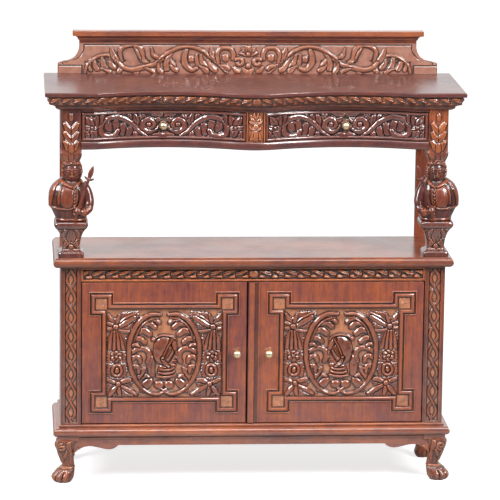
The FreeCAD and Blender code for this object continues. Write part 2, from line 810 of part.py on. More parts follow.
def knob_bore(x, seat_y, z, length):
    radius = knob_stud_radius + knob_stud_clearance
    return cylinder(radius, length, Vector(x, seat_y, z), Vector(0, 1, 0))


# Outline of the eared moulding, every side drawn in by an inset
def eared_outline(x_range, z_range, inset, y):
    corner = [
        (ear_offset + inset, ear_size - inset),
        (inset, ear_size - inset),
        (inset, inset),
        (ear_size - inset, inset),
        (ear_size - inset, ear_offset + inset),
    ]
    points = [Vector(x_range[0] + across, y, z_range[1] - down) for across, down in corner]
    points += [Vector(x_range[1] - across, y, z_range[1] - down) for across, down in reversed(corner)]
    points += [Vector(x_range[1] - across, y, z_range[0] + down) for across, down in corner]
    points += [Vector(x_range[0] + across, y, z_range[0] + down) for across, down in reversed(corner)]
    return Part.makePolygon(points + points[:1])


def eared_moulding(x_range, z_range):
    low_y = door_face_y
    high_y = door_face_y - moulding_rise
    outer = Part.makeLoft([
        eared_outline(x_range, z_range, 0, low_y),
        eared_outline(x_range, z_range, moulding_slope, high_y),
    ], True, True)
    inner = Part.makeLoft([
        eared_outline(x_range, z_range, moulding_band, low_y),
        eared_outline(x_range, z_range, moulding_band - moulding_slope, high_y),
    ], True, True)
    return outer.cut(inner)


# One door between its hinge edge and its meeting edge, without the astragal
def door_boards(x_range, field_x):
    y_range = (door_face_y, door_back_y)
    z_range = (door_bottom_z, door_top_z)
    open_x = (field_x[0] + frame_width_x, field_x[1] - frame_width_x)
    open_z = (z_range[0] + frame_width_z, z_range[1] - frame_width_z)
    panel = box(
        (open_x[0] - panel_groove, open_x[1] + panel_groove),
        (panel_front_y, panel_back_y),
        (open_z[0] - panel_groove, open_z[1] + panel_groove),
    )
    depth = panel_groove + groove_clearance
    groove = box(
        (open_x[0] - depth, open_x[1] + depth),
        (panel_front_y, panel_back_y),
        (open_z[0] - depth, open_z[1] + depth),
    )
    boards = [
        box((x_range[0], open_x[0]), y_range, z_range),
        box((open_x[1], x_range[1]), y_range, z_range),
        box(open_x, y_range, (z_range[0], open_z[0])),
        box(open_x, y_range, (open_z[1], z_range[1])),
    ]
    return [board.cut(groove) for board in boards], panel


def make_door(side, x_range, field_x, pivot_sockets, pivot_rooms, catch, catch_bore):
    boards, panel = door_boards(x_range, field_x)
    knob_x = field_x[1] - door_knob_inset if side == "left" else field_x[0] + door_knob_inset
    knob_z = (door_bottom_z + door_top_z) / 2
    bore = knob_bore(knob_x, door_face_y, knob_z, door_thickness)
    cuts = pivot_rooms + [catch_bore, bore]
    save(side + "_door_frame", *[board.cut(cuts) for board in boards])
    save(side + "_door_panel", panel)
    moulding_x = (field_x[0] + moulding_margin_x, field_x[1] - moulding_margin_x)
    moulding_z = (door_bottom_z + moulding_margin_z, door_top_z - moulding_margin_z)
    save(side + "_door_moulding", eared_moulding(moulding_x, moulding_z))
    save(side + "_door_knob", knob(knob_x, door_face_y, knob_z, door_thickness))
    save(side + "_door_sockets", *pivot_sockets)
    save(side + "_door_catch", catch)


# Strip on the meeting edge of the right door: a flat fillet, a round bead and a slope
def make_astragal():
    start_x = right_meeting_x
    bead_x = start_x + astragal_fillet_share * astragal_width
    flat_y = door_face_y - astragal_rise
    points = [
        Vector(start_x, door_face_y, door_bottom_z),
        Vector(start_x, flat_y, door_bottom_z),
        Vector(bead_x, flat_y, door_bottom_z),
        Vector(bead_x + astragal_bead_radius, flat_y - astragal_bead_radius, door_bottom_z),
        Vector(bead_x + 2 * astragal_bead_radius, flat_y, door_bottom_z),
        Vector(start_x + astragal_width, door_face_y, door_bottom_z),
    ]
    edges = [
        line(points[0], points[1]),
        line(points[1], points[2]),
        arc(points[2], points[3], points[4]),
        line(points[4], points[5]),
        line(points[5], points[0]),
    ]
    face = Part.Face(Part.Wire(edges))
    save("right_door_astragal", face.extrude(Vector(0, 0, door_top_z - door_bottom_z)))


def make_doors():
    plates, sockets, rooms = pivot_shapes()
    plate_rooms = [
        pivot_plate_box(-pivot_x, (case_z - pivot_plate_thickness, case_z)),
        pivot_plate_box(-pivot_x, (head_rail_z, head_rail_z + pivot_plate_thickness)),
    ]
    left_catch, left_bore, left_strike, left_room = catch_shapes(left_meeting_x - catch_inset)
    right_catch, right_bore, right_strike, right_room = catch_shapes(right_meeting_x + catch_inset)
    left_x = (-door_edge_x, left_meeting_x)
    right_x = (right_meeting_x, door_edge_x)
    right_field = (right_meeting_x + astragal_width, door_edge_x)
    make_door("left", left_x, left_x, sockets, rooms, left_catch, left_bore)
    right_sockets = [mirrored(socket) for socket in sockets]
    right_rooms = [mirrored(room) for room in rooms]
    make_door("right", right_x, right_field, right_sockets, right_rooms, right_catch, right_bore)
    make_astragal()
    save("pivot_plates", *(plates + [mirrored(plate) for plate in plates]))
    save("strike_plates", left_strike, right_strike)
    cuts = plate_rooms + [mirrored(room) for room in plate_rooms] + [left_room, right_room]
    rail = box((-opening_half, opening_half), (face_y, face_y + stile_depth), (head_rail_z, shelf_z))
    save("head_rail", rail.cut(cuts))


# Drawers, made on the right and mirrored to the left
def make_drawer_box():
    side_range = (drawer_side_z, drawer_side_top_z)
    room = behind_front(drawer_rear_inset, side_range)
    bottom_z = (drawer_z + drawer_bottom_lift, drawer_z + drawer_bottom_lift + drawer_bottom_thickness)
    groove = (
        (drawer_inner_x + drawer_side_thickness - drawer_bottom_groove),
        (drawer_outer_x - drawer_side_thickness + drawer_bottom_groove),
    )
    groove_box = box(groove, (-back_y, back_y), bottom_z)
    back_front_y = drawer_back_y - drawer_side_thickness
    inside_x = (drawer_inner_x + drawer_side_thickness, drawer_outer_x - drawer_side_thickness)
    walls = []
    for x_range in ((drawer_inner_x, inside_x[0]), (inside_x[1], drawer_outer_x)):
        side = box(x_range, (-back_y, drawer_back_y), side_range).common(room)
        walls.append(side.cut(groove_box))
    walls.append(box(inside_x, (back_front_y, drawer_back_y), (bottom_z[1], drawer_side_top_z)))
    bottom_x = (groove[0] + groove_clearance, groove[1] - groove_clearance)
    bottom_slab = box(bottom_x, (-back_y, drawer_back_y), bottom_z)
    bottom = bottom_slab.common(behind_front(drawer_rear_inset, bottom_z))
    return walls, bottom


def make_drawers():
    front = curved_board(
        drawer_face_inset, drawer_rear_inset, (drawer_inner_x, drawer_outer_x), (drawer_front_z, drawer_top_z)
    )
    knob_z = (drawer_front_z + drawer_top_z) / 2
    seat_y = min(
        front_y_at(drawer_knob_x - knob_rose_radius, drawer_face_inset),
        front_y_at(drawer_knob_x + knob_rose_radius, drawer_face_inset),
    )
    handle = knob(drawer_knob_x, seat_y, knob_z, drawer_front_thickness)
    front = front.cut(knob_bore(drawer_knob_x, seat_y, knob_z, drawer_front_thickness + overrun))
    walls, bottom = make_drawer_box()
    save("left_drawer_front", mirrored(front))
    save("right_drawer_front", front)
    save("left_drawer_walls", *[mirrored(wall) for wall in walls])
    save("right_drawer_walls", *walls)
    save("left_drawer_bottom", mirrored(bottom))
    save("right_drawer_bottom", bottom)
    save("left_drawer_knob", mirrored(handle))
    save("right_drawer_knob", handle)


os.makedirs("parts", exist_ok=True)
make_top_board()
make_cornice()
make_gallery()
make_gallery_cap()
make_posts()
make_pedestals()
make_figures()
make_upper_case()
make_drawer_framing()
make_runners()
make_middle_shelf()
make_base()
make_apron()
make_feet()
make_cabinet()
make_doors()
make_drawers()
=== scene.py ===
# Carved mahogany buffet: the looks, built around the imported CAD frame
import math

import bpy
import numpy as np
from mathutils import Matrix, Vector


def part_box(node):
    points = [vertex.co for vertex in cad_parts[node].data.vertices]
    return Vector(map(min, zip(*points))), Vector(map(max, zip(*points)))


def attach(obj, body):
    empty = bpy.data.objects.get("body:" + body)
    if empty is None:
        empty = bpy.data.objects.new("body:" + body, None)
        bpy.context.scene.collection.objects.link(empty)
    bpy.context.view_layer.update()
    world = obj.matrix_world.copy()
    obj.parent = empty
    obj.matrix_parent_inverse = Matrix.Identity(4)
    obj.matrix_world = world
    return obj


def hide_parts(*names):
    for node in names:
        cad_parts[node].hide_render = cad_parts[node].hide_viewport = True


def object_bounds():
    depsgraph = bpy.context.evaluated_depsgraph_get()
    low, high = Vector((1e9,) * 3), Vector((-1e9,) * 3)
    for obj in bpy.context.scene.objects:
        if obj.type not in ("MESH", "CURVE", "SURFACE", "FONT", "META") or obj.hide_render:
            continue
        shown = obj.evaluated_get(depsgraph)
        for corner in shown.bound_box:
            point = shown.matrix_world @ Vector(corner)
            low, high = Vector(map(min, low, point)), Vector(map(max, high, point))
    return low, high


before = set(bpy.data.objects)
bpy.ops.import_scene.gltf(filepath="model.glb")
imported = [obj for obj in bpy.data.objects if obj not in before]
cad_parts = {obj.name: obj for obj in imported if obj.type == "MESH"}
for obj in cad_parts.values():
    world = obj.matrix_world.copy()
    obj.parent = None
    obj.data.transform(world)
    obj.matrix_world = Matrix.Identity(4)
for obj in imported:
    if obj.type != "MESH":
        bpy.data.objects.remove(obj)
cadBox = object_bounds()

scene = bpy.context.scene
scene.view_settings.view_transform = "Standard"
mm = 0.001  # carvings are worked out in millimetres
sides = ("left", "right")
print("frame loaded:", len(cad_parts), "CAD nodes")

# camera
cameraView = {
    "yaw": 4.172, "pitch": 11.715, "roll": 0.711,  # degrees
    "distance": 10.1036, "target": (-0.00094, 0.00735, 0.68375),
    "focalPixels": 3323.4, "imagePixels": 500, "sensor": 36.0, "clip": (0.1, 100.0),
}


def placeCamera(view):
    yaw, pitch, roll = (math.radians(view[key]) for key in ("yaw", "pitch", "roll"))
    forward = np.array([math.sin(yaw) * math.cos(pitch), math.cos(yaw) * math.cos(pitch), -math.sin(pitch)])
    level = np.array([math.cos(yaw), -math.sin(yaw), 0.0])
    upright = np.cross(level, forward)
    place = np.eye(4)
    place[:3, 0] = math.cos(roll) * level + math.sin(roll) * upright
    place[:3, 1] = -math.sin(roll) * level + math.cos(roll) * upright
    place[:3, 2] = -forward
    place[:3, 3] = np.array(view["target"]) - forward * view["distance"]
    data = bpy.data.cameras.new("photoCamera")
    data.sensor_width = view["sensor"]
    data.lens = view["focalPixels"] / view["imagePixels"] * view["sensor"]
    data.clip_start, data.clip_end = view["clip"]
    camera = bpy.data.objects.new("photoCamera", data)
    scene.collection.objects.link(camera)
    camera.matrix_world = Matrix(place.tolist())
    scene.camera = camera


placeCamera(cameraView)
print("camera placed")


# shader helpers
def tint(red, green, blue):  # a colour as seen on screen, 0 to 255, in linear light
    shares = np.array([red, green, blue]) / 255.0
    linear = np.where(shares <= 0.04045, shares / 12.92, ((shares + 0.055) / 1.055) ** 2.4)
    return (*linear.tolist(), 1.0)


def addNode(tree, kind, sockets=None, **settings):
    node = tree.nodes.new(kind)
    for key, value in settings.items():
        setattr(node, key, value)
    for key, value in (sockets or {}).items():
        if isinstance(value, bpy.types.NodeSocket):
            tree.links.new(value, node.inputs[key])
        else:
            node.inputs[key].default_value = value
    return node


def mathNode(tree, operation, first, second=0.0, clamp=False):
    return addNode(tree, "ShaderNodeMath", {0: first, 1: second}, operation=operation,
                   use_clamp=clamp).outputs[0]


def times(tree, first, second, clamp=False):
    return mathNode(tree, "MULTIPLY", first, second, clamp)


def mixColour(tree, factor, first, second, blend="MIX"):
    sockets = {"Factor": factor, 6: first, 7: second}
    return addNode(tree, "ShaderNodeMix", sockets, data_type="RGBA", blend_type=blend).outputs[2]


def spread(tree, value, fromLow, fromHigh, toLow=0.0, toHigh=1.0):
    sockets = {"Value": value, "From Min": fromLow, "From Max": fromHigh, "To Min": toLow, "To Max": toHigh}
    return addNode(tree, "ShaderNodeMapRange", sockets, clamp=True).outputs["Result"]


def objectPlace(tree):
    return addNode(tree, "ShaderNodeTexCoord").outputs["Object"]


def noise(tree, place, scale, detail, **sockets):
    sockets = {"Vector": place, "Scale": scale, "Detail": detail, **sockets}
    return addNode(tree, "ShaderNodeTexNoise", sockets).outputs["Fac"]


socketKinds = {"colour": "NodeSocketColor", "value": "NodeSocketFloat", "vector": "NodeSocketVector"}


def startGroup(name, inputs, outputs):
    tree = bpy.data.node_groups.new(name, "ShaderNodeTree")
    for way, sockets in (("INPUT", inputs), ("OUTPUT", outputs)):
        for socketName, kind in sockets.items():
            tree.interface.new_socket(socketName, in_out=way, socket_type=socketKinds[kind])
    return tree, tree.nodes.new("NodeGroupInput").outputs, tree.nodes.new("NodeGroupOutput").inputs


def makeGrainGroup():  # clouds, blotches and streaks of two colours, and pores, that run along the vector's X
    tree, entry, leave = startGroup(
        "woodGrain", {"Vector": "vector", "Pale": "colour", "Deep": "colour", "Lean": "value"},
        {"Colour": "colour", "Pores": "value"})
    layers = (  # stretch along and across the grain, detail, roughness and share of the figure
        ((3.0, 7.0, 7.0), 3.0, 0.55, 0.38), ((26.0, 38.0, 38.0), 4.0, 0.65, 0.34),
        ((6.0, 150.0, 150.0), 3.0, 0.6, 0.28))

    def stretched(scale, detail, **sockets):
        place = addNode(tree, "ShaderNodeMapping", {"Vector": entry["Vector"], "Scale": scale}).outputs[0]
        return noise(tree, place, 1.0, detail, **sockets)

    figured = entry["Lean"]
    for stretch, detail, roughness, share in layers:
        layer = stretched(stretch, detail, Roughness=roughness, Distortion=0.3)
        figured = mathNode(tree, "ADD", figured, times(tree, layer, share))
    pores = spread(tree, stretched((22.0, 420.0, 420.0), 2.0), 0.52, 0.72)
    body = mixColour(tree, spread(tree, figured, 0.38, 0.62), entry["Pale"], entry["Deep"])
    flecked = mixColour(tree, times(tree, pores, 0.30), body, entry["Deep"], "MULTIPLY")
    tree.links.new(flecked, leave["Colour"])
    tree.links.new(pores, leave["Pores"])
    return tree


def makeStainShadeGroup():  # dark stain and painted shade in hollows, and rubbed ridges, from the cavity and ground attributes
    tree, entry, leave = startGroup(
        "recessStainAndShade", {"Colour": "colour", "Ground": "colour", "Stainshade": "colour", "Rubbed": "colour",
                        "Depth": "value", "Rub": "value"}, {"Colour": "colour"})
    cavity, ground = (addNode(tree, "ShaderNodeAttribute", attribute_name=name).outputs["Fac"]
                      for name in ("cavity", "ground"))
    patch = noise(tree, objectPlace(tree), 70.0, 3.0)
    kept = spread(tree, ground, 0.0, 1.0, 1.0, 0.25)
    # hollow: where the stain-and-shade colour goes, as dark stain and painted shade of the recesses, less on
    # bare ground
    hollow = times(tree, times(tree, cavity, -1.0, clamp=True), kept)
    uneven = spread(tree, patch, 0.3, 0.7, 0.4, 1.0)
    ridge = times(tree, mathNode(tree, "MAXIMUM", cavity, 0.0, clamp=True), uneven)
    shown = times(tree, ground, spread(tree, patch, 0.35, 0.65, 0.5, 0.95))
    floored = mixColour(tree, shown, entry["Colour"], entry["Ground"])
    stained = mixColour(tree, times(tree, hollow, entry["Depth"], clamp=True), floored, entry["Stainshade"])
    rubbed = mixColour(tree, times(tree, ridge, entry["Rub"], clamp=True), stained, entry["Rubbed"])
    tree.links.new(rubbed, leave["Colour"])
    return tree


def makeWearGroup():  # softened edges: the normal of a small bevel, and where it turns
    tree, entry, leave = startGroup(
        "edgeWear", {"Colour": "colour", "Worn": "colour", "Radius": "value", "Amount": "value"},
        {"Colour": "colour", "Normal": "vector"})
    bevel = addNode(tree, "ShaderNodeBevel", {"Radius": entry["Radius"]}, samples=4).outputs["Normal"]
    flat = addNode(tree, "ShaderNodeNewGeometry").outputs["Normal"]
    match = addNode(tree, "ShaderNodeVectorMath", {0: bevel, 1: flat},
                    operation="DOT_PRODUCT").outputs["Value"]
    patch = noise(tree, objectPlace(tree), 38.0, 4.0)
    patchy = times(tree, spread(tree, match, 0.99, 0.80), spread(tree, patch, 0.35, 0.65))
    worn = times(tree, patchy, entry["Amount"], clamp=True)
    tree.links.new(mixColour(tree, worn, entry["Colour"], entry["Worn"]), leave["Colour"])
    tree.links.new(bevel, leave["Normal"])
    return tree


def makeVarnishGroup():  # lacquer that is thinner here and there, with a little dust on top
    tree, entry, leave = startGroup(
        "varnish", {"Colour": "colour", "Dust": "colour", "Dusting": "value", "Matt": "value",
                    "Uneven": "value"}, {"Colour": "colour", "Roughness": "value", "Coat": "value"})
    place = objectPlace(tree)
    cloud = noise(tree, place, 11.0, 4.0)
    speck = noise(tree, place, 420.0, 1.0)
    normal = addNode(tree, "ShaderNodeNewGeometry").outputs["Normal"]
    upward = addNode(tree, "ShaderNodeSeparateXYZ", {0: normal}).outputs["Z"]
    lying = times(tree, spread(tree, upward, 0.3, 1.0), spread(tree, speck, 0.52, 0.75))
    dusted = times(tree, lying, entry["Dusting"], clamp=True)
    offset = times(tree, mathNode(tree, "SUBTRACT", cloud, 0.5), entry["Uneven"])
    rough = mathNode(tree, "ADD", mathNode(tree, "ADD", entry["Matt"], offset), times(tree, dusted, 0.4))
    tree.links.new(mixColour(tree, dusted, entry["Colour"], entry["Dust"]), leave["Colour"])
    tree.links.new(rough, leave["Roughness"])
    tree.links.new(spread(tree, cloud, 0.25, 0.6, 0.65, 1.0), leave["Coat"])
    return tree


shaderGroups = {
    "grain": makeGrainGroup(), "stainShade": makeStainShadeGroup(), "wear": makeWearGroup(),
    "varnish": makeVarnishGroup(),
}
print("shader groups:", ", ".join(group.name for group in shaderGroups.values()))


def placeGroup(tree, key, sockets):
    return addNode(tree, "ShaderNodeGroup", sockets, node_tree=shaderGroups[key]).outputs


def pick(values, *names):  # values under the names of a group's sockets
    return {name.capitalize(): values[name] for name in names}


grainTurns = {"along": (0.0, 0.0, 0.0), "upright": (0.0, math.pi / 2, 0.0), "deep": (0.0, 0.0, math.pi / 2)}

# what a finish doesn't name it takes from here, and its bare ground is pale
# stainShade colours the hollows, as dark stain and as painted shade
woodBase = {
    "stainShade": tint(20, 10, 10), "lean": 0.0, "depth": 1.0, "rub": 0.5, "matt": 0.34, "coatRoughness": 0.15,
    "dusting": 0.05, "pores": 0.10,
}
# lean shifts a wood towards its deep (+) or pale (-) colour; gloss is the lacquer's index of refraction
woodFinishes = {
    "carved": {
        "pale": tint(170, 90, 50), "deep": tint(86, 42, 40), "rubbed": tint(202, 120, 66),
        "stainShade": tint(12, 6, 6), "lean": 0.02, "rub": 0.55, "gloss": 1.76, "coatRoughness": 0.23},
    "amber": {
        "pale": tint(176, 98, 58), "deep": tint(110, 62, 56), "rubbed": tint(208, 128, 74),
        "stainShade": tint(20, 10, 9), "gloss": 2.0},
    # gallery: its bare ground is paler and pinker than the wood, a pale ground with a painted sheen of the
    # white surroundings on it
    "gallery": {
        "pale": tint(156, 92, 64), "deep": tint(104, 60, 52), "rubbed": tint(184, 120, 88),
        "stainShade": tint(26, 13, 11), "ground": tint(166, 120, 104), "rub": 0.4, "matt": 0.36, "gloss": 2.0,
        "coatRoughness": 0.17, "dusting": 0.08},
    "panel": {
        "pale": tint(142, 70, 42), "deep": tint(64, 34, 37), "rubbed": tint(182, 100, 54),
        "stainShade": tint(12, 6, 6),
        "ground": tint(188, 122, 84), "lean": 0.03, "rub": 0.45, "matt": 0.30, "gloss": 2.1,
        "coatRoughness": 0.13, "dusting": 0.04},
    "figure": {
        "pale": tint(142, 68, 38), "deep": tint(70, 36, 38), "rubbed": tint(178, 94, 48),
        "stainShade": tint(12, 6, 6),
        "lean": 0.03, "depth": 0.9, "gloss": 1.65, "coatRoughness": 0.20, "dusting": 0.04},
    # drawer: its bare ground is painted near-black, as stain and as painted shade deep between the carved
    # forms
    "drawer": {
        "pale": tint(128, 66, 54), "deep": tint(72, 43, 46), "rubbed": tint(150, 82, 58),
        "stainShade": tint(12, 7, 7),
        "ground": tint(36, 19, 17), "lean": 0.02, "rub": 0.4, "matt": 0.28, "gloss": 2.05, "dusting": 0.04,
        "pores": 0.08},
    "polished": {
        "pale": tint(160, 84, 49), "deep": tint(104, 54, 55), "rubbed": tint(206, 116, 56), "gloss": 1.85,
        "dusting": 0.03, "pores": 0.14},
    "shelf": {
        "pale": tint(146, 80, 50), "deep": tint(90, 49, 48), "rubbed": tint(204, 116, 58), "gloss": 1.7,
        "coatRoughness": 0.2, "pores": 0.14},
    "dark": {
        "pale": tint(120, 62, 46), "deep": tint(78, 42, 44), "rubbed": tint(206, 118, 64), "lean": 0.04,
        "gloss": 1.9, "coatRoughness": 0.24, "dusting": 0.06, "pores": 0.14},
    "plain": {
        "pale": tint(168, 120, 82), "deep": tint(126, 82, 54), "rubbed": tint(190, 146, 104),
        "stainShade": tint(70, 44, 30), "depth": 0.8, "rub": 0.4, "matt": 0.58, "gloss": 1.4, "coatRoughness": 0.4,
        "dusting": 0.15, "pores": 0.3},
}
woodWear = {
    "dust": tint(196, 176, 160), "uneven": 0.15, "radius": 1.8 * mm, "amount": 0.6, "poreDepth": 0.3 * mm,
    "specular": 0.10,
}


def startMaterial(name):
    material = bpy.data.materials.new(name)
    material.use_nodes = True
    return material, material.node_tree, material.node_tree.nodes["Principled BSDF"]


def makeWood(finishName, turnName):
    finish = {**woodBase, "ground": woodFinishes[finishName]["pale"], **woodFinishes[finishName]}
    material, tree, shader = startMaterial(f"{finishName}Mahogany_{turnName}")
    sockets = {"Vector": objectPlace(tree), "Rotation": grainTurns[turnName]}
    turned = addNode(tree, "ShaderNodeMapping", sockets).outputs[0]
    grain = placeGroup(tree, "grain", {"Vector": turned, **pick(finish, "pale", "deep", "lean")})
    # hollows take dark stain and painted shade, ridges are rubbed
    stainShade = placeGroup(tree, "stainShade", {
        "Colour": grain["Colour"], **pick(finish, "ground", "stainShade", "rubbed", "depth", "rub")})
    wear = placeGroup(tree, "wear", {
        "Colour": stainShade["Colour"], "Worn": finish["rubbed"], **pick(woodWear, "radius", "amount")})
    varnish = placeGroup(tree, "varnish", {
        "Colour": wear["Colour"], **pick(finish, "dusting", "matt"), **pick(woodWear, "dust", "uneven")})
    bump = addNode(tree, "ShaderNodeBump", {
        "Strength": finish["pores"], "Distance": woodWear["poreDepth"], "Height": grain["Pores"],
        "Normal": wear["Normal"]}, invert=True)
    tree.links.new(varnish["Colour"], shader.inputs["Base Color"])
    tree.links.new(varnish["Roughness"], shader.inputs["Roughness"])
    tree.links.new(varnish["Coat"], shader.inputs["Coat Weight"])
    tree.links.new(bump.outputs[0], shader.inputs["Normal"])
    tree.links.new(wear["Normal"], shader.inputs["Coat Normal"])
    shader.inputs["Coat Roughness"].default_value = finish["coatRoughness"]
    shader.inputs["Coat IOR"].default_value = finish["gloss"]
    shader.inputs["Specular IOR Level"].default_value = woodWear["specular"]
    return material


brassFinishes = {
    "brightBrass": {"clean": tint(250, 234, 196), "dust": tint(214, 182, 122), "matt": 0.34},
    "satinBrass": {"clean": tint(200, 168, 106), "dust": tint(120, 92, 52), "matt": 0.36},
}
brassWear = {"dusting": 0.2, "uneven": 0.15}


def makeBrass(name):
    finish = brassFinishes[name]
    material, tree, shader = startMaterial(name)
    blotch = noise(tree, objectPlace(tree), 160.0, 5.0)
    colour = mixColour(tree, spread(tree, blotch, 0.45, 0.75), finish["clean"], finish["dust"])
    varnish = placeGroup(tree, "varnish", {
        "Colour": colour, **pick(finish, "dust", "matt"), **pick(brassWear, "dusting", "uneven")})
    tree.links.new(varnish["Colour"], shader.inputs["Base Color"])
    tree.links.new(varnish["Roughness"], shader.inputs["Roughness"])
    shader.inputs["Metallic"].default_value = 1.0
    return material


woods = {(finish, turn): makeWood(finish, turn) for finish in woodFinishes for turn in grainTurns}
brasses = {name: makeBrass(name) for name in brassFinishes}
print("materials:", len(woods) + len(brasses))

# finish of each CAD node that stays in view, by wood and grain direction; a * stands for left and right
nodeFinishes = {
    ("dark", "along"): "top_board drawer_bottom_rail drawer_top_rail",
    ("gallery", "along"): "gallery_board",
    ("amber", "along"): "base_board base_moulding_front front_apron gallery_cap",
    ("amber", "deep"): "base_moulding_returns",
    ("polished", "along"): "cornice_front cornice_back head_rail *_drawer_front frieze_back",
    ("shelf", "along"): "middle_shelf",
    ("polished",
     "upright"): "*_door_frame *_door_panel *_door_moulding right_door_astragal *_stile *_front_post "
                             "rear_posts side_panels drawer_divider",
    ("polished", "deep"): "cornice_returns frieze_sides",
    ("carved", "upright"): "*_figure *_pedestal spears front_*_foot rear_*_foot",
    ("plain", "along"): "inner_shelf *_drawer_bottom",
    ("plain", "upright"): "cabinet_back",
    ("plain", "deep"): "drawer_partition drawer_runners *_drawer_walls",
}
brassNodes = {
    "brightBrass": "*_door_knob *_drawer_knob",
    "satinBrass": "pivot_plates strike_plates shelf_pins *_door_catch *_door_sockets",
}


def coverNodes(names, material):
    for name in dict.fromkeys(entry.replace("*", side) for entry in names.split() for side in sides):
        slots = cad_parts[name].data.materials
        slots.clear()
        slots.append(material)


for key, names in nodeFinishes.items():
    coverNodes(names, woods[key])
for key, names in brassNodes.items():
    coverNodes(names, brasses[key])
print("CAD nodes finished")


def woodFor(finish, turn="along"):
    return woods[(finish, turn)]


# mesh helpers: every piece is a closed shell, turned so that its faces point outwards
def shellVolume(points, quads):  # sum of the signed tetrahedra under the two triangles of each quad
    a, b, c, d = (points[quads[:, k]] for k in range(4))
    return float(np.einsum("ij,ij->", a, np.cross(b, c) + np.cross(c, d)) / 6)


def makePiece(name, points, quads, material, body, caps=(), marks=None, sharp=38.0):
    points = np.asarray(points, float).reshape(-1, 3) * mm
    quads = np.asarray(quads, int).reshape(-1, 4)
    faces = quads.tolist() + [list(cap) for cap in caps]
    if shellVolume(points - points.mean(0), quads) < 0:
        faces = [face[::-1] for face in faces]
    mesh = bpy.data.meshes.new(name)
    mesh.from_pydata(points.tolist(), [], faces)
    mesh.polygons.foreach_set("use_smooth", np.ones(len(faces), bool))
    for mark, values in (marks or {}).items():
        layer = mesh.attributes.new(mark, "FLOAT", "POINT")
        layer.data.foreach_set("value", np.asarray(values, np.float32).ravel())
    mesh.update()
    mesh.set_sharp_from_angle(angle=math.radians(sharp))
    mesh.materials.append(material)
    piece = bpy.data.objects.new(name, mesh)
    scene.collection.objects.link(piece)
    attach(piece, body)
    return piece


def gridQuads(rows, columns, wrapRows=False, wrapColumns=False):
    index = np.arange(rows * columns).reshape(rows, columns)
    if wrapRows:
        index = np.vstack([index, index[:1]])
    if wrapColumns:
        index = np.hstack([index, index[:, :1]])
    return np.stack([index[:-1, :-1], index[:-1, 1:], index[1:, 1:], index[1:, :-1]], -1).reshape(-1, 4)


def makeSheet(name, front, back, material, marks, body="case"):
    # carved sheet: a front grid, a plain back strip between two lines, and walls that join them round the
    # edge
    rows, columns = front.shape[:2]
    total = rows * columns
    index = np.arange(total).reshape(rows, columns)
    lowBack, highBack = total + np.arange(columns), total + columns + np.arange(columns)

    def strip(first, second):
        return np.stack([first[:-1], first[1:], second[1:], second[:-1]], -1)

    quads = np.concatenate([
        gridQuads(rows, columns), strip(lowBack, index[0]), strip(index[-1], highBack),
        strip(highBack, lowBack)])
    caps = [[*index[:, 0], highBack[0], lowBack[0]], [*index[::-1, -1], lowBack[-1], highBack[-1]]]
    points = np.concatenate([front.reshape(-1, 3), back.reshape(-1, 3)])
    padded = {key: np.concatenate([values.ravel(), np.zeros(2 * columns)]) for key, values in marks.items()}
    return makePiece(name, points, quads, material, body, caps, padded)


def makeTube(name, rings, material, marks=None, sharp=38.0):
    # closed tube: rings of points one after another, with flat caps on the first and last
    count, around = rings.shape[:2]
    caps = [list(range(around))[::-1], list(range((count - 1) * around, count * around))]
    quads = gridQuads(count, around, wrapColumns=True)
    return makePiece(name, rings, quads, material, "case", caps, marks, sharp)


# carving tools: a board is a grid of places, u across and v up in millimetres, with the carved height over it
def makeBoard(u, v):
    return {"u": u, "v": v, "height": np.zeros_like(u)}


def flatBoard(low, high, step):
    across = np.linspace(low[0], high[0], int((high[0] - low[0]) / step) + 1)
    upward = np.linspace(low[1], high[1], int((high[1] - low[1]) / step) + 1)
    return makeBoard(*np.meshgrid(across, upward))


def bend(*controls, count=48):  # Bezier curve: the control points weighed by Bernstein polynomials
    t = np.linspace(0, 1, count)[:, None]
    last = len(controls) - 1
    return sum(math.comb(last, k) * t**k * (1 - t)**(last - k) * np.array(spot, float)
               for k, spot in enumerate(controls))


# spiral whose radius shrinks evenly in proportion
def coil(centre, outer, inner, startTurn, turns, count=90):
    t = np.linspace(0, 1, count)
    angle = 2 * np.pi * (startTurn + turns * t)
    radius = outer * (inner / outer)**t
    return np.stack([centre[0] + radius * np.cos(angle), centre[1] + radius * np.sin(angle)], 1)


def oval(centre, halfWidth, halfHeight, count=90):
    angle = 2 * np.pi * np.linspace(0, 1, count)
    return np.stack([centre[0] + halfWidth * np.cos(angle), centre[1] + halfHeight * np.sin(angle)], 1)


def through(*spots, count=100):  # smooth curve through its spots: Catmull-Rom pieces
    spots = np.array(spots, float)
    padded = np.vstack([2 * spots[0] - spots[1], spots, 2 * spots[-1] - spots[-2]])
    t = np.linspace(0, len(spots) - 1, count)
    piece = np.minimum(t.astype(int), len(spots) - 2)
    s = (t - piece)[:, None]
    a, b, c, d = (padded[piece + k] for k in range(4))
    return 0.5 * (2 * b + (c - a) * s + (2 * a - 5 * b + 4 * c - d) * s**2 + (3 * b - a - 3 * c + d) * s**3)


def overlay(board, ratio, dome, cut):
    # lays a form over the board: what lies under it, and a groove of the cut's share round it, sinks to a
    # fifth
    if cut:
        board["height"] = board["height"] * (1 - 0.8 * np.clip((1 + cut - ratio) / cut, 0, 1))
    board["height"] = np.maximum(board["height"], dome)


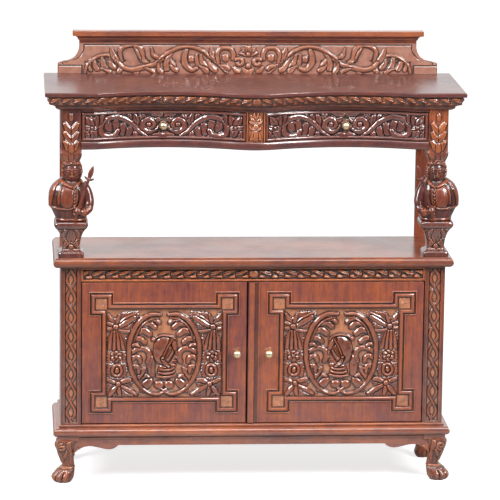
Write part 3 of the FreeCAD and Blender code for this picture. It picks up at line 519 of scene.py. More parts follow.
def ridge(board, path, radius, rise, vein=0.0, sharp=0.5, cut=0.0, stamps=24):
    # rounded ridge: the highest of the domes rise * (1 - (distance / radius)^2)^sharp stamped along the path
    path = np.asarray(path, float)
    radius, rise = np.atleast_1d(radius).astype(float), np.atleast_1d(rise).astype(float)
    along = np.concatenate([[0.0], np.cumsum(np.hypot(*np.diff(path, axis=0).T))])
    count = max(12, int(along[-1] / (0.28 * max(radius.mean(), 1.0))))
    share = np.linspace(0, 1, count)
    spot = np.stack([np.interp(share * along[-1], along, path[:, k]) for k in (0, 1)], 1)
    wide = np.maximum(np.interp(share, np.linspace(0, 1, len(radius)), radius), 0.3)
    tall = np.interp(share, np.linspace(0, 1, len(rise)), rise)
    heading = np.gradient(spot, axis=0)
    heading /= np.maximum(np.hypot(*heading.T), 1e-9)[:, None]
    u, v = board["u"].ravel(), board["v"].ravel()
    nearest, dome = np.full(u.size, 9.0), np.zeros(u.size)
    for first in range(0, count, stamps):
        part = slice(first, first + stamps)
        reach = wide[part, None] * (1 + cut)
        low, high = (spot[part] - reach).min(0), (spot[part] + reach).max(0)
        near = np.flatnonzero((u > low[0]) & (u < high[0]) & (v > low[1]) & (v < high[1]))
        if not len(near):
            continue
        du, dv = u[near, None] - spot[part, 0], v[near, None] - spot[part, 1]
        fall = (du**2 + dv**2) / wide[part]**2
        best = fall.argmin(1)
        row = np.arange(len(near))
        swell = tall[part][best] * np.clip(1 - fall[row, best], 0, None)**sharp
        if vein:
            side = (du * heading[part, 1] - dv * heading[part, 0])[row, best] / wide[part][best]
            swell = swell * (1 - vein * np.exp(-(side / 0.22)**2))
        nearest[near] = np.minimum(nearest[near], fall[row, best])
        dome[near] = np.maximum(dome[near], swell)
    shape = board["u"].shape
    overlay(board, np.sqrt(nearest).reshape(shape), dome.reshape(shape), cut)


def bowed(root, tip, bow):  # path from root to tip, bowed sideways by a share of its length
    root, tip = np.array(root, float), np.array(tip, float)
    side = np.array([root[1] - tip[1], tip[0] - root[0]])
    return bend(root, (root + tip) / 2 + bow * side, tip)


# swells from its root and closes to a point
def leaf(board, root, tip, bow, width, rise, vein=0.35, cut=0.25):
    swell = np.sin(np.pi * np.linspace(0.08, 1, 13)**0.8)**0.8
    ridge(board, bowed(root, tip, bow), width * swell + 0.4, rise * (0.55 + 0.45 * swell), vein, cut=cut)


def lobe(board, root, end, bow, width, rise, cut=0.3):  # comma that grows to a fat round end
    shares = np.array((0.45, 0.65, 0.85, 1.0, 0.95))
    ridge(board, bowed(root, end, bow), width * shares, rise * (0.5 + 0.5 * shares), cut=cut)


def knob(board, centre, halfWidth, halfHeight, rise, cut=0.0):  # ellipsoid dome
    fall = ((board["u"] - centre[0]) / halfWidth)**2 + ((board["v"] - centre[1]) / halfHeight)**2
    overlay(board, np.sqrt(fall), rise * np.sqrt(np.clip(1 - fall, 0, None)), cut)


def plate(board, corners, rise, tooth=0.0, pitch=9.0, cut=0.35):
    # plate inside a closed outline; its edge is cut into saw teeth along its length, then rounded over
    u, v = board["u"], board["v"]
    corners = np.array(corners, float)
    inside, gap, travel, start = np.zeros(u.shape, bool), np.full(u.shape, 1e9), np.zeros(u.shape), 0.0
    for (au, av), (bu, bv) in zip(corners, np.roll(corners, -1, 0)):
        length = math.hypot(bu - au, bv - av)
        t = np.clip(((u - au) * (bu - au) + (v - av) * (bv - av)) / length**2, 0, 1)
        away = np.hypot(u - au - t * (bu - au), v - av - t * (bv - av))
        travel = np.where(away < gap, start + t * length, travel)
        gap = np.minimum(gap, away)
        if av != bv:
            inside ^= ((av > v) != (bv > v)) & (u < au + (bu - au) * (v - av) / (bv - av))
        start += length
    depth = np.where(inside, gap, -gap) + tooth * (0.6 - np.abs(2 * np.mod(travel / pitch, 1) - 1))
    dome = rise * np.clip(depth / 3.0, 0, 1)**0.5 * (0.7 + 0.3 * np.clip(depth / 9.0, 0, 1))
    overlay(board, 1 - depth / 6.0, dome, cut)


def mirrorBoard(board):  # the carved half is copied over u = 0
    board["height"] = np.maximum(board["height"], board["height"][:, ::-1])


def blurGrid(field, reach):  # moving mean over a square window, from running sums
    for axis in (0, 1):
        lines = np.moveaxis(field, axis, 0)
        padded = np.concatenate([np.repeat(lines[:1], reach + 1, 0), lines, np.repeat(lines[-1:], reach, 0)])
        total = np.cumsum(padded, 0)
        field = np.moveaxis((total[2 * reach + 1:] - total[:-2 * reach - 1]) / (2 * reach + 1), 0, axis)
    return field


def softNoise(shape, reach, seed):  # seeded noise, blurred to the width of a gouge and brought to unit spread
    noise = np.random.default_rng(seed).normal(size=shape)
    for _ in range(2):
        noise = blurGrid(noise, reach)
    return noise / noise.std()


def handCut(board, carve, seed, stray=0.7, facet=0.30):
    # carves on strayed coordinates, as a hand strays from its lines, then leaves gouge facets on the raised
    # wood
    shape = board["u"].shape
    strayed = makeBoard(board["u"] + stray * softNoise(shape, 7, seed),
                        board["v"] + stray * softNoise(shape, 7, seed + 1))
    carve(strayed)
    raised = np.clip(strayed["height"] / 2.0, 0, 1)
    board["height"] = strayed["height"] + facet * raised * softNoise(shape, 3, seed + 2)


def carvingMarks(height, reach=3, depth=1.0, ground=0.5):
    # cavity is how far a spot stands over (+) or under (-) its surroundings, near and wide; ground is 1 a
    # little way out from the carving
    near = (height - blurGrid(height, reach)) / depth
    wide = (height - blurGrid(height, reach * 3)) / (depth * 2.2)
    return {"cavity": np.clip(near + 0.6 * wide, -1, 1),
            "ground": np.clip(1 - blurGrid(height, 2) / ground, 0, 1)}


def cavityMarks(height, reach=3, depth=1.0):  # for carving that has no ground
    return {"cavity": carvingMarks(height, reach, depth)["cavity"]}


def nodeBox(name):  # a CAD node's lowest and highest corner, in millimetres
    low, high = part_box(name)
    return np.array(low) / mm, np.array(high) / mm


def flatPlace(board, faceY, sink):  # places of a carved board that faces the front
    return np.stack([board["u"], faceY + sink - board["height"], board["v"]], -1)


def backLines(front, backY):  # lower and upper line of a plain back
    lines = front[[0, -1]].copy()
    lines[..., 1] = backY
    return lines


# serpentine front of the upper case: a bow between two hollows, between flat ends
serpentine = {"hollowMid": 270.0, "halfChord": 200.0, "hollowDepth": 42.0, "bowHalf": 70.0}


def frontLine(x, inset):  # y of the front line at x, moved back square to itself by an inset
    halfChord, depth = serpentine["halfChord"], serpentine["hollowDepth"]
    hollowRadius = (halfChord**2 + depth**2) / (2 * depth)
    lean = math.asin(halfChord / hollowRadius)
    bowRadius = serpentine["bowHalf"] / math.sin(lean)
    noseY = cadBox[0].y / mm
    endY = noseY + bowRadius * (1 - math.cos(lean))
    hollowY = endY + depth - hollowRadius
    reach = np.abs(x)
    outer, inner = hollowRadius + inset, bowRadius - inset
    hollow = hollowY + np.sqrt(np.clip(outer**2 - (reach - serpentine["hollowMid"])**2, 0, None))
    bow = noseY + inset + inner - np.sqrt(np.clip(inner**2 - reach**2, 0, None))
    corner = serpentine["hollowMid"] + np.sqrt(np.clip(outer**2 - (endY + inset - hollowY)**2, 0, None))
    line = np.where(reach < inner * math.sin(lean), bow, hollow)
    return np.where(reach > corner, endY + inset, line)


bandHand = (11, 0.5, 0.2)  # seed, stray and facet


# leaf band: round-ended scales that overlap towards the ends; each has a rib that climbs inwards to its top
# edge, a scoop under the rib and a swelling at its inner foot
def carveLeafBand(board, pitch, half, rise, reach):
    count = int(reach / pitch) + 1
    for step in range(count, -1, -1):
        start = (step + 0.5) * pitch
        ridge(board, bend((start + 0.70 * pitch, 0.0), (start - 0.05 * pitch, 0.0)),
              (0.62 * half, half, half), (0.30 * rise, 0.30 * rise, 0.24 * rise), sharp=0.34, cut=0.34)
        ridge(board, bowed((start + 0.66 * pitch, 0.30 * half), (start + 0.04 * pitch, 0.68 * half), -0.06),
              (0.24 * half, 0.36 * half, 0.26 * half), (0.55 * rise, 0.85 * rise, 0.7 * rise))
        ridge(board, bowed((start + 0.80 * pitch, -0.12 * half), (start + 0.16 * pitch, 0.56 * half), 0.10),
              (0.16 * half, 0.22 * half, 0.14 * half), (0.75 * rise, 1.1 * rise, 0.9 * rise))
        ridge(board, bend((start + 0.40 * pitch, -0.72 * half), (start + 0.04 * pitch, -0.50 * half)),
              (0.10 * half, 0.30 * half, 0.40 * half), (0.3 * rise, 0.8 * rise, 0.95 * rise))


# height of the band at a distance u from the middle, w from -1 to 1 across
def scaleBand(u, w, pitch, half, rise):
    board = makeBoard(np.abs(u), w * half)
    handCut(board, lambda strayed: carveLeafBand(strayed, pitch, half, rise, np.abs(u).max()), *bandHand)
    return board["height"]


headRail = {"step": 1.2, "pitch": 39.0, "bandLow": 628.0, "bandHigh": 656.0, "rise": 7.5, "sink": 6.0,
            "beadHalf": (15.0, 13.0), "plainEnd": 8.0, "ease": 2.0, "marginSlope": 8.0}


def makeHeadRail(rail):
    low, high = nodeBox("head_rail")
    board = flatBoard(low[[0, 2]], high[[0, 2]], rail["step"])
    u, v = board["u"], board["v"]
    middle, half = (rail["bandLow"] + rail["bandHigh"]) / 2, (rail["bandHigh"] - rail["bandLow"]) / 2
    w = (v - middle) / half
    band = scaleBand(u, w, rail["pitch"], half, rail["rise"]) * (np.abs(w) < 1)
    margin = rail["sink"] * np.clip((np.abs(w) - 1.0) * rail["marginSlope"], 0, 1)
    endPlain = np.clip((np.abs(u) - (high[0] - rail["plainEnd"])) / rail["ease"], 0, 1)
    board["height"] = np.maximum(band * (1 - endPlain), margin)
    board["height"] = np.maximum(board["height"], rail["sink"] * endPlain)
    knob(board, (0.0, middle), *rail["beadHalf"], rail["rise"], 0.2)
    front = flatPlace(board, low[1], rail["sink"])
    marks = carvingMarks(board["height"])
    piece = makeSheet("head_rail_carved", front, backLines(front, high[1]), woodFor("carved"), marks)
    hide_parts("head_rail")


makeHeadRail(headRail)
print("head rail carved")

stileChain = {"step": 1.1, "pitch": 58.5, "links": 8, "sway": 12.6, "strand": 4.5, "rise": 4.6, "lift": 1.8,
              "fieldHalf": 17.2, "fieldEnd": 2.0, "ease": 1.2, "sink": 5.0,
              # hand: seed, stray, facet
              "points": 400, "squareness": 0.3, "sharp": 0.42, "hand": (21, 0.3, 0.15)}


def makeStile(side, chain):  # two strands that sway as cosines and cross once in each pitch
    low, high = nodeBox(f"{side}_stile")
    middle = (low[0] + high[0]) / 2
    board = flatBoard((low[0] - middle, low[2]), (high[0] - middle, high[2]), chain["step"])
    u, v = board["u"], board["v"]
    centre, reach = (low[2] + high[2]) / 2, chain["pitch"] * chain["links"] / 2
    along = np.linspace(-reach, reach, chain["points"])
    turn = np.pi * (along + reach) / chain["pitch"] - np.pi / 2

    def carve(strayed):
        for way in (1.0, -1.0):
            sway = np.cos(turn) * np.abs(np.cos(turn))**chain["squareness"]
            path = np.stack([way * chain["sway"] * sway, along + centre], 1)
            lift = chain["rise"] + way * chain["lift"] * np.sin(turn)
            ridge(strayed, path, chain["strand"], lift, sharp=chain["sharp"])

    handCut(board, carve, *chain["hand"])
    edge = np.maximum(np.abs(u) - chain["fieldHalf"], np.abs(v - centre) - reach - chain["fieldEnd"])
    board["height"] = np.maximum(board["height"], chain["sink"] * np.clip(edge / chain["ease"], 0, 1))
    shifted = {**board, "u": u + middle}
    front = flatPlace(shifted, low[1], chain["sink"])
    marks = carvingMarks(board["height"])
    piece = makeSheet(f"{side}_stile_carved", front, backLines(front, high[1]), woodFor("panel", "upright"),
                      marks)
    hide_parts(f"{side}_stile")


for side in sides:
    makeStile(side, stileChain)
print("stiles carved")

cornice = {
    "ledge": 10.0, "depth": 32.0, "proud": 0.7, "sunk": 4.0, "columns": 1060, "pitch": 34.0, "rise": 4.6,
    "bandHalf": 12.0, "bandLow": 0.30, "bandHigh": 0.95,
    "insetShares": (1.0, 0.80, 0.70, 0.62, 0.30, 0.14, 0.04, 0.0),
    "heightShares": (0.0, 0.12, 0.22, 0.36, 0.44, 0.60, 0.82, 1.0), "rows": 40, "centreBead": 15.0,
    "noseShare": 0.15, "noseHalf": 0.10, "noseRise": 1.6, "sideColumns": 230, "rowShares": (0.015, 0.985),
}


def cornicePlaces(look, along, isFront):
    # the plan outline moved in by the profile's inset less the carved height, at the profile's height
    low, high = nodeBox("cornice_front")
    share = np.linspace(*look["rowShares"], look["rows"])[:, None] * np.ones((1, len(along)))
    inset = look["ledge"] + look["depth"] * np.interp(share, look["heightShares"], look["insetShares"])
    z = low[2] + (high[2] - low[2]) * share
    w = (share - look["bandLow"]) / (look["bandHigh"] - look["bandLow"]) * 2 - 1
    travel = np.broadcast_to(along, share.shape)
    carved = scaleBand(travel, w, look["pitch"], look["bandHalf"], look["rise"]) * (np.abs(w) < 1)
    if isFront:
        fall = (travel / look["centreBead"])**2 + w**2
        carved = np.where(np.abs(travel) < look["centreBead"],
                          look["rise"] * np.sqrt(np.clip(1 - fall, 0, None)), carved)
    bead = np.clip(1 - ((share - look["noseShare"]) / look["noseHalf"])**2, 0, None)
    height = look["proud"] + carved + look["noseRise"] * np.sqrt(bead)
    return inset, z, height, carved


def makeCornice(look):
    high = nodeBox("cornice_front")[1]
    topHalf = high[0] + look["ledge"]
    t = np.linspace(-1, 1, look["columns"])
    line = frontLine(t * high[0], look["ledge"])
    along = np.concatenate([[0], np.cumsum(np.hypot(np.diff(t * high[0]), np.diff(line)))])
    along -= along[-1] / 2
    inset, z, height, carved = cornicePlaces(look, along, True)

    def outline(moved):
        x = t * (topHalf - moved)
        return np.stack([x, frontLine(x, moved), z[:len(moved)]], -1)

    front = outline(inset - height)
    back = np.stack([outline(inset[[k]] + look["sunk"])[0] for k in (0, -1)])
    back[0, :, 2], back[1, :, 2] = z[0, 0], z[-1, 0]
    makeSheet("cornice_front_carved", front, back, woodFor("carved"), cavityMarks(carved))
    cornerY, backY = frontLine(np.array([topHalf]), 0.0)[0], nodeBox("cornice_returns")[1][1]
    run = np.linspace(0, 1, look["sideColumns"])
    sideAlong = along[-1] + run * (backY - cornerY)
    inset, z, height, carved = cornicePlaces(look, sideAlong, False)
    moved = inset - height
    y = (cornerY + moved) + run * (backY - cornerY - moved)
    right = np.stack([topHalf - moved, y, z], -1)
    back = right[[0, -1]].copy()
    back[..., 0] = topHalf - inset[[0, -1]] - look["sunk"]
    for side, way in (("right", 1.0), ("left", -1.0)):
        mirror = np.array([way, 1.0, 1.0])
        makeSheet(f"cornice_{side}_carved", right * mirror, back * mirror, woodFor("carved", "deep"),
                  cavityMarks(carved))


makeCornice(cornice)
print("cornice carved")

# eared moulding of a door: a rounded profile carried round a frame with square ears, mitred at each corner
earedMoulding = {
    "ear": 76.0, "earStep": 33.0, "seat": 0.5,
    "profileInsets": (0.0, 0.2, 1.0, 2.2, 3.4, 3.9, 4.2, 7.2, 7.6, 8.6, 10.4, 13.0, 15.6, 17.4, 18.4, 18.8,
                      20.8, 21.0),
    "profileRises": (0.0, 1.2, 2.4, 2.9, 2.4, 1.6, 0.4, 0.4, 2.2, 4.4, 6.3, 7.0, 6.2, 4.2, 2.2, 0.4, 0.4,
                     0.0),
    # profile marks: below zero paints the grooves dark with stain and painted shade, above zero rubs the
    # crests
    "profileMarks": (-0.2, 0.0, 0.5, 0.6, 0.0, -0.8, -1, -1, -0.9, -0.2, 0.3, 0.5, 0.3, -0.1, -0.7, -1, -1,
                     -1),
}


def earedLoop(low, high, inset, look):  # corner points of the frame, moved inwards by an inset
    ear, step = look["ear"], look["earStep"]
    corner = [(step + inset, ear - inset), (inset, ear - inset), (inset, inset), (ear - inset, inset),
              (ear - inset, step + inset)]
    points = []
    for fromLeft, fromBelow in ((True, True), (False, True), (False, False), (True, False)):
        spots = corner if fromLeft == fromBelow else corner[::-1]
        for across, up in spots:
            points.append((low[0] + across if fromLeft else high[0] - across,
                           low[2] + up if fromBelow else high[2] - up))
    return np.array(points)


def makeDoorMoulding(side, look):
    low, high = nodeBox(f"{side}_door_moulding")
    rings = []
    for inset, rise in zip(look["profileInsets"], look["profileRises"]):
        loop = earedLoop(low, high, inset, look)
        depth = high[1] - rise + look["seat"] * (rise <= 0)
        rings.append(np.stack([loop[:, 0], np.full(len(loop), depth), loop[:, 1]], 1))
    rings = np.array(rings)
    quads = gridQuads(*rings.shape[:2], wrapRows=True, wrapColumns=True)
    marks = {"cavity": np.array(look["profileMarks"])[:, None] * np.ones(rings.shape[1])}
    piece = makePiece(f"{side}_door_moulding_run", rings, quads, woodFor("polished", "upright"),
                      f"{side}_door", marks=marks, sharp=32.0)
    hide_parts(f"{side}_door_moulding")


# ear fields: punched squares of bare ground inside the ears, a skin on the face of the door
earField = {"step": 1.2, "half": 16.6, "fromEdge": 38.0, "proud": 0.5, "sunk": 0.3, "punch": 0.22, "seed": 70}


def makeEarFields(side, look):
    low, high = nodeBox(f"{side}_door_moulding")
    half, edge = look["half"], look["fromEdge"]
    for across in ("near", "far"):
        for up in ("low", "high"):
            x = low[0] + edge if across == "near" else high[0] - edge
            z = low[2] + edge if up == "low" else high[2] - edge
            board = flatBoard((x - half, z - half), (x + half, z + half), look["step"])
            punched = look["punch"] * softNoise(board["u"].shape, 1, look["seed"])
            board["height"] = look["proud"] + punched
            front = flatPlace(board, high[1], 0.0)
            marks = {"cavity": np.clip(punched * 2, -1, 1), "ground": np.ones_like(punched)}
            makeSheet(f"{side}_ear_field_{across}_{up}", front, backLines(front, high[1] + look["sunk"]),
                      woodFor("panel", "upright"), marks, f"{side}_door")


for side in sides:
    makeEarFields(side, earField)
    makeDoorMoulding(side, earedMoulding)
print("door mouldings run")

# astragal: a half-round strip over the gap between the doors, with a lower band and a bead beside it
astragalRun = {
    "acrossShares": (0.0, 0.0, 0.03, 0.1, 0.25, 0.42, 0.5, 0.54, 0.56, 0.60, 0.85, 0.90, 0.95, 0.99, 1.0),
    "rises": (0.0, 4.0, 5.6, 6.6, 7.0, 7.0, 6.2, 4.4, 2.4, 1.4, 1.4, 2.6, 2.8, 2.2, 0.0),
    # marks: the side by the gap between the doors is painted dark as its shade, the groove takes stain and
    # painted shade, the crests are rubbed
    "marks": (-1.0, -1.0, -0.7, 0.0, 0.2, 0.3, 0.7, 0.0, -0.8, -0.6, -0.6, 0.0, 0.6, 0.2, -0.6), "seat": 0.5,
    "rows": 40,
}


def makeAstragal(look):
    low, high = nodeBox("right_door_astragal")
    z = np.linspace(low[2], high[2], look["rows"])[:, None]
    x = low[0] + (high[0] - low[0]) * np.array(look["acrossShares"])
    rise = np.array(look["rises"])
    front = np.stack(np.broadcast_arrays(x, high[1] - rise, z), -1)
    marks = {"cavity": np.broadcast_to(look["marks"], front.shape[:2])}
    piece = makeSheet("right_door_astragal_run", front, backLines(front, high[1] + look["seat"]),
                      woodFor("polished", "upright"), marks, "right_door")
    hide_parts("right_door_astragal")


makeAstragal(astragalRun)
print("astragal run")

# gallery: leaf scrolls in a sunk field between coved ends, drawn for the right half and mirrored
gallery = {
    "columns": 900, "rows": 84, "neckHalf": 517.0, "coveRadius": 46.0, "shoulder": 33.0, "slope": 6.0,
    "sink": 1.0, "border": 15.0, "fieldTop": 88.0, "rise": 6.5, "grooveHalf": 3.0, "grooveDeep": 2.0,
    "grooveFrom": 0.8, "earTop": 24.0, "earMid": 37.0, "earHalf": 37.0, "seed": 31,
}


# half width at a height: full, a sloping shoulder, a quarter cove, then the neck
def galleryHalf(look, up, outer):
    slopeTop = look["shoulder"] + look["slope"]
    coveOuter = look["neckHalf"] + look["coveRadius"]
    sloped = np.interp(up, (look["shoulder"], slopeTop), (outer, coveOuter))
    rise = np.clip(slopeTop + look["coveRadius"] - up, 0, look["coveRadius"])
    coved = coveOuter - np.sqrt(np.clip(look["coveRadius"]**2 - rise**2, 0, None))
    return np.where(up < slopeTop, sloped, coved)


def carveGallery(board, rise):  # u from the middle, v from the foot of the gallery
    full, low = rise, rise * 0.85
    lobe(board, (472, 46), (462, 12), 0.20, 8.0, low)  # leaf under the end arch
    lobe(board, (486, 36), (482, 8), 0.15, 6.0, low)
    lobe(board, (448, 54), (436, 16), 0.22, 9.0, low)
    lobe(board, (424, 50), (410, 18), 0.22, 9.0, low)
    lobe(board, (452, 14), (424, 4), -0.20, 6.0, low)
    ridge(board, through((501, 1), (490, 31), (468, 49), (442, 57), (418, 52), (398, 34)), (4, 5.5, 5.5, 6.5),
          full, cut=0.3)
    leaf(board, (398, 32), (420, 83), -0.16, 10.0, full)  # upright bud
    ridge(board, through((388, 38), (393, 66), (377, 85), (354, 89), (333, 82), (325, 64), (321, 46),
                         (312, 30)), (5, 6.5, 7, 7.5, 8, 7, 8), full, cut=0.25)
    ridge(board, through((348, 84), (338, 66), (330, 48)), (3, 5, 4), full, cut=0.3)
    lobe(board, (376, 18), (396, 6), 0.2, 8.0, low)  # stem along the foot
    lobe(board, (350, 12), (340, 2), 0.2, 7.0, low)
    ridge(board, through((398, 36), (381, 19), (354, 12), (320, 19), (286, 30), (264, 46)),
          (6, 8, 8.5, 9, 8, 6), full, cut=0.2)
    lobe(board, (318, 16), (292, 6), -0.2, 7.5, low)
    # horn that turns up
    ridge(board, through((270, 48), (290, 56), (297, 80)), (6.5, 6.5, 2.5), full, cut=0.25)
    lobe(board, (276, 34), (266, 4), 0.2, 8.0, low)
    lobe(board, (236, 62), (250, 14), 0.30, 9.0, low)  # leaves under the long arch
    lobe(board, (238, 44), (228, 26), 0.2, 8.0, low)
    lobe(board, (240, 26), (220, 10), 0.1, 8.0, low)
    ridge(board, through((190, 72), (196, 48), (190, 24), (175, 12), (159, 18)), (6, 9, 9, 8, 6), full,
          cut=0.25)
    knob(board, (175, 44), 10.0, 12.0, low, 0.25)
    lobe(board, (158, 58), (154, 30), 0.2, 8.0, low)
    lobe(board, (146, 56), (128, 22), 0.25, 9.0, low)
    lobe(board, (150, 24), (126, 6), -0.15, 8.0, low)
    lobe(board, (124, 42), (102, 12), 0.20, 9.0, low)
    ridge(board, through((272, 47), (241, 67), (206, 82), (171, 82), (141, 70), (110, 46), (84, 22), (66, 2)),
          (5, 6, 6.5, 6.5, 6, 5, 4, 3), full, cut=0.3)
    leaf(board, (99, 42), (114, 80), -0.14, 10.0, full)  # inner bud
    ridge(board, through((92, 34), (96, 60), (82, 79), (60, 79), (46, 62), (46, 46)), (5, 6.5, 7, 7, 6.5, 7),
          full, cut=0.25)
    knob(board, (70, 48), 11.0, 13.0, low, 0.25)
    lobe(board, (84, 24), (62, 16), -0.2, 8.0, low)
    ridge(board, coil((27, 34), 13, 6, 0.10, 0.85), (5, 6, 5), full, cut=0.25)  # curls beside the middle
    lobe(board, (44, 20), (30, 6), 0.25, 8.0, low)
    lobe(board, (14, 14), (4, 6), 0.25, 8.0, low)
    for tip, bow in (((31, 62), 0.2), ((24, 80), 0.15), ((8, 90), 0.1)):  # middle flower
        leaf(board, (3, 58), tip, bow, 8.0, full)
    knob(board, (0, 60), 8.0, 8.0, rise * 1.1, 0.25)
    knob(board, (0, 24), 7.0, 9.0, full, 0.25)


def makeGallery(look):
    low, high = nodeBox("gallery_board")
    up = np.linspace(0, high[2] - low[2], look["rows"])[:, None]
    half = galleryHalf(look, up, high[0])
    board = makeBoard(np.linspace(-1, 1, look["columns"]) * half, up * np.ones((1, look["columns"])))
    u, v = board["u"], board["v"]
    handCut(board, lambda strayed: carveGallery(strayed, look["rise"]), look["seed"])
    mirrorBoard(board)
    edge = np.maximum(np.abs(u) - (half - look["border"]), v - look["fieldTop"])
    groove = np.maximum(0, 1 - (edge / look["grooveHalf"])**2) * (v > look["shoulder"] * look["grooveFrom"])
    earLine = np.maximum(np.abs(np.abs(u) - (high[0] - look["earMid"])) - look["earHalf"], v - look["earTop"])
    groove = np.maximum(groove, np.maximum(0, 1 - (earLine / look["grooveHalf"])**2))
    board["height"] = np.where(edge < 0, board["height"], 0.0) - look["grooveDeep"] * groove
    marks = carvingMarks(board["height"])
    marks["ground"] = marks["ground"] * (groove == 0)
    front = flatPlace({**board, "v": v + low[2]}, low[1], look["sink"]).transpose(1, 0, 2)
    turned = {key: values.T for key, values in marks.items()}
    piece = makeSheet("gallery_carved", front, backLines(front, high[1]), woodFor("gallery"), turned)
    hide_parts("gallery_board")


makeGallery(gallery)
print("gallery carved")

# drawer fronts: a rounded border round a field of acanthus scrolls, its ground painted near-black as stain
# and shade, on the serpentine line
drawerFront = {
    "step": 1.05, "inset": 44.0, "thickness": 20.0, "proud": 1.0, "sink": 7.0, "border": 9.5, "rise": 7.0,
    "borderRise": 7.4, "rimDrop": 2.4, "knobClear": 13.0, "knobEase": 2.0, "seeds": {"left": 41, "right": 51},
}


def carveDrawer(board, rise):  # u from the knob, v from mid height, drawn for one half
    full, low = rise, rise * 0.85
    lobe(board, (36, 33), (9, 31), 0.1, 10.0, full)  # scroll beside the knob
    lobe(board, (28, -31), (6, -31), -0.1, 9.0, full)
    leaf(board, (26, 10), (12, 22), 0.1, 8.0, low)
    leaf(board, (66, 18), (58, 35), 0.1, 9.0, full)
    ridge(board, coil((43, 1), 27, 10, 0.54, 1.25), (5, 8, 9, 8.5, 7.5), full, cut=0.2)
    knob(board, (43, 1), 8.5, 8.5, full, 0.2)
    leaf(board, (80, 2), (89, 36), 0.12, 10.0, full)  # bud and leaves over the stem
    leaf(board, (98, 14), (107, 36), 0.1, 8.5, low)
    lobe(board, (130, 26), (118, 34), 0.1, 7.0, low)
    lobe(board, (74, -14), (84, -33), 0.2, 9.5, low)  # leaves below the stem
    lobe(board, (90, -2), (106, -31), 0.22, 11.5, low)
    lobe(board, (108, 12), (124, -22), 0.25, 11.5, low)
    lobe(board, (138, 22), (142, -8), 0.25, 12.0, low)
    lobe(board, (162, 20), (162, -8), 0.25, 12.0, low)
    lobe(board, (128, -36), (146, -34), 0.2, 6.0, low)
    ridge(board, through((48, -35), (75, -16), (94, 4), (116, 19), (143, 26), (171, 20), (187, 2), (185, -20),
                         (167, -32), (146, -29), (136, -16)),
          (4, 7, 8, 8.5, 9, 9, 9, 9, 9.5, 9, 8), full, cut=0.2)
    lobe(board, (190, 6), (182, 34), 0.15, 7.0, low)
    for tip in ((197, 35), (231, 32), (230, -36), (199, -36)):  # four leaves at the end
        leaf(board, (212, -3), tip, 0.12, 12.0, full)
    leaf(board, (214, -3), (237, -2), 0.0, 9.0, low)
    leaf(board, (212, -3), (193, -6), 0.0, 7.0, low)
    knob(board, (212, -3), 6.5, 6.5, full, 0.25)
    knob(board, (70, 32), 6.0, 6.0, low)


def makeDrawerFront(side, look):
    low, high = nodeBox(f"{side}_drawer_front")
    middle, half = (low + high) / 2, (high - low) / 2
    board = flatBoard((-half[0], -half[2]), (half[0], half[2]), look["step"])
    u, v = board["u"], board["v"]
    handCut(board, lambda strayed: carveDrawer(strayed, look["rise"]), look["seeds"][side])
    mirrorBoard(board)
    fromKnob = np.hypot(u, v)
    boss = (look["sink"] - look["proud"]) * np.clip((look["knobClear"] - fromKnob) / look["knobEase"], 0, 1)
    board["height"] = np.where(boss > 0, boss, board["height"])
    inward = np.minimum(half[0] - np.abs(u), half[2] - np.abs(v))
    share = np.clip(inward / look["border"], 0, 1)
    roll = look["borderRise"] * np.sqrt(np.clip(1 - ((share - 0.5) / 0.5)**2, 0, None))
    rim = np.where(share < 0.5, np.maximum(roll, look["borderRise"] - look["rimDrop"]), roll)
    board["height"] = np.where(share < 1, np.maximum(board["height"] * (share >= 1), rim), board["height"])
    x, z = u + middle[0], v + middle[2]
    inset = look["inset"] - look["proud"] + look["sink"] - board["height"]
    front = np.stack([x, frontLine(x, inset), z], -1)
    back = backLines(front, frontLine(x[[0, -1]], look["inset"] + look["thickness"]))
    marks = carvingMarks(board["height"])
    piece = makeSheet(f"{side}_drawer_carved", front, back, woodFor("drawer"), marks, f"{side}_drawer")
    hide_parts(f"{side}_drawer_front")


for side in sides:
    makeDrawerFront(side, drawerFront)
print("drawer fronts carved")

# flower drop between the drawers
divider = {"step": 0.9, "inset": 42.0, "sink": 5.0, "rise": 6.0, "thickness": 24.0, "rim": 4.0,
           "rimEase": 1.4}


def makeDivider(look):
    low, high = nodeBox("drawer_divider")
    half = (high - low) / 2
    board = flatBoard((-half[0], -half[2]), (half[0], half[2]), look["step"])
    u, v, rise = board["u"], board["v"], look["rise"]
    for tipX, tipY, width in ((5, 44, 6), (16, 34, 6), (20, 18, 5.5)):  # upper petals
        leaf(board, (2, 12), (tipX, tipY), -0.12, width, rise)
    leaf(board, (1, -8), (17, -6), 0.25, 5.5, rise * 0.9)
    leaf(board, (3, -14), (18, -40), -0.22, 8.0, rise)  # hanging leaves
    leaf(board, (0, -12), (5, -45), -0.06, 7.0, rise)
    mirrorBoard(board)
    knob(board, (0, 2), 8.5, 9.0, rise * 1.1)
    edge = np.abs(u) - (half[0] - look["rim"])
    board["height"] = np.maximum(board["height"], look["sink"] * np.clip(edge / look["rimEase"], 0, 1))
    front = np.stack([u, frontLine(u, look["inset"] + look["sink"] - board["height"]),
                      v + (low[2] + high[2]) / 2], -1)
    back = backLines(front, frontLine(u[[0, -1]], look["inset"] + look["thickness"]))
    piece = makeSheet("drawer_divider_carved", front, back, woodFor("amber", "upright"),
                      carvingMarks(board["height"]))
    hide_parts("drawer_divider")


makeDivider(divider)
print("divider carved")

# door panels: an oval wreath with lobes inside it, bows in the corners, flowers between, and a helmeted head
doorPanel = {"step": 1.15, "rise": 8.0, "seat": 0.5, "halfWidth": 179.0, "halfHeight": 141.0, "sunk": 3.0,
             "hand": (61, 0.3, 0.25), "headHand": (71, 0.4, 0.25)}


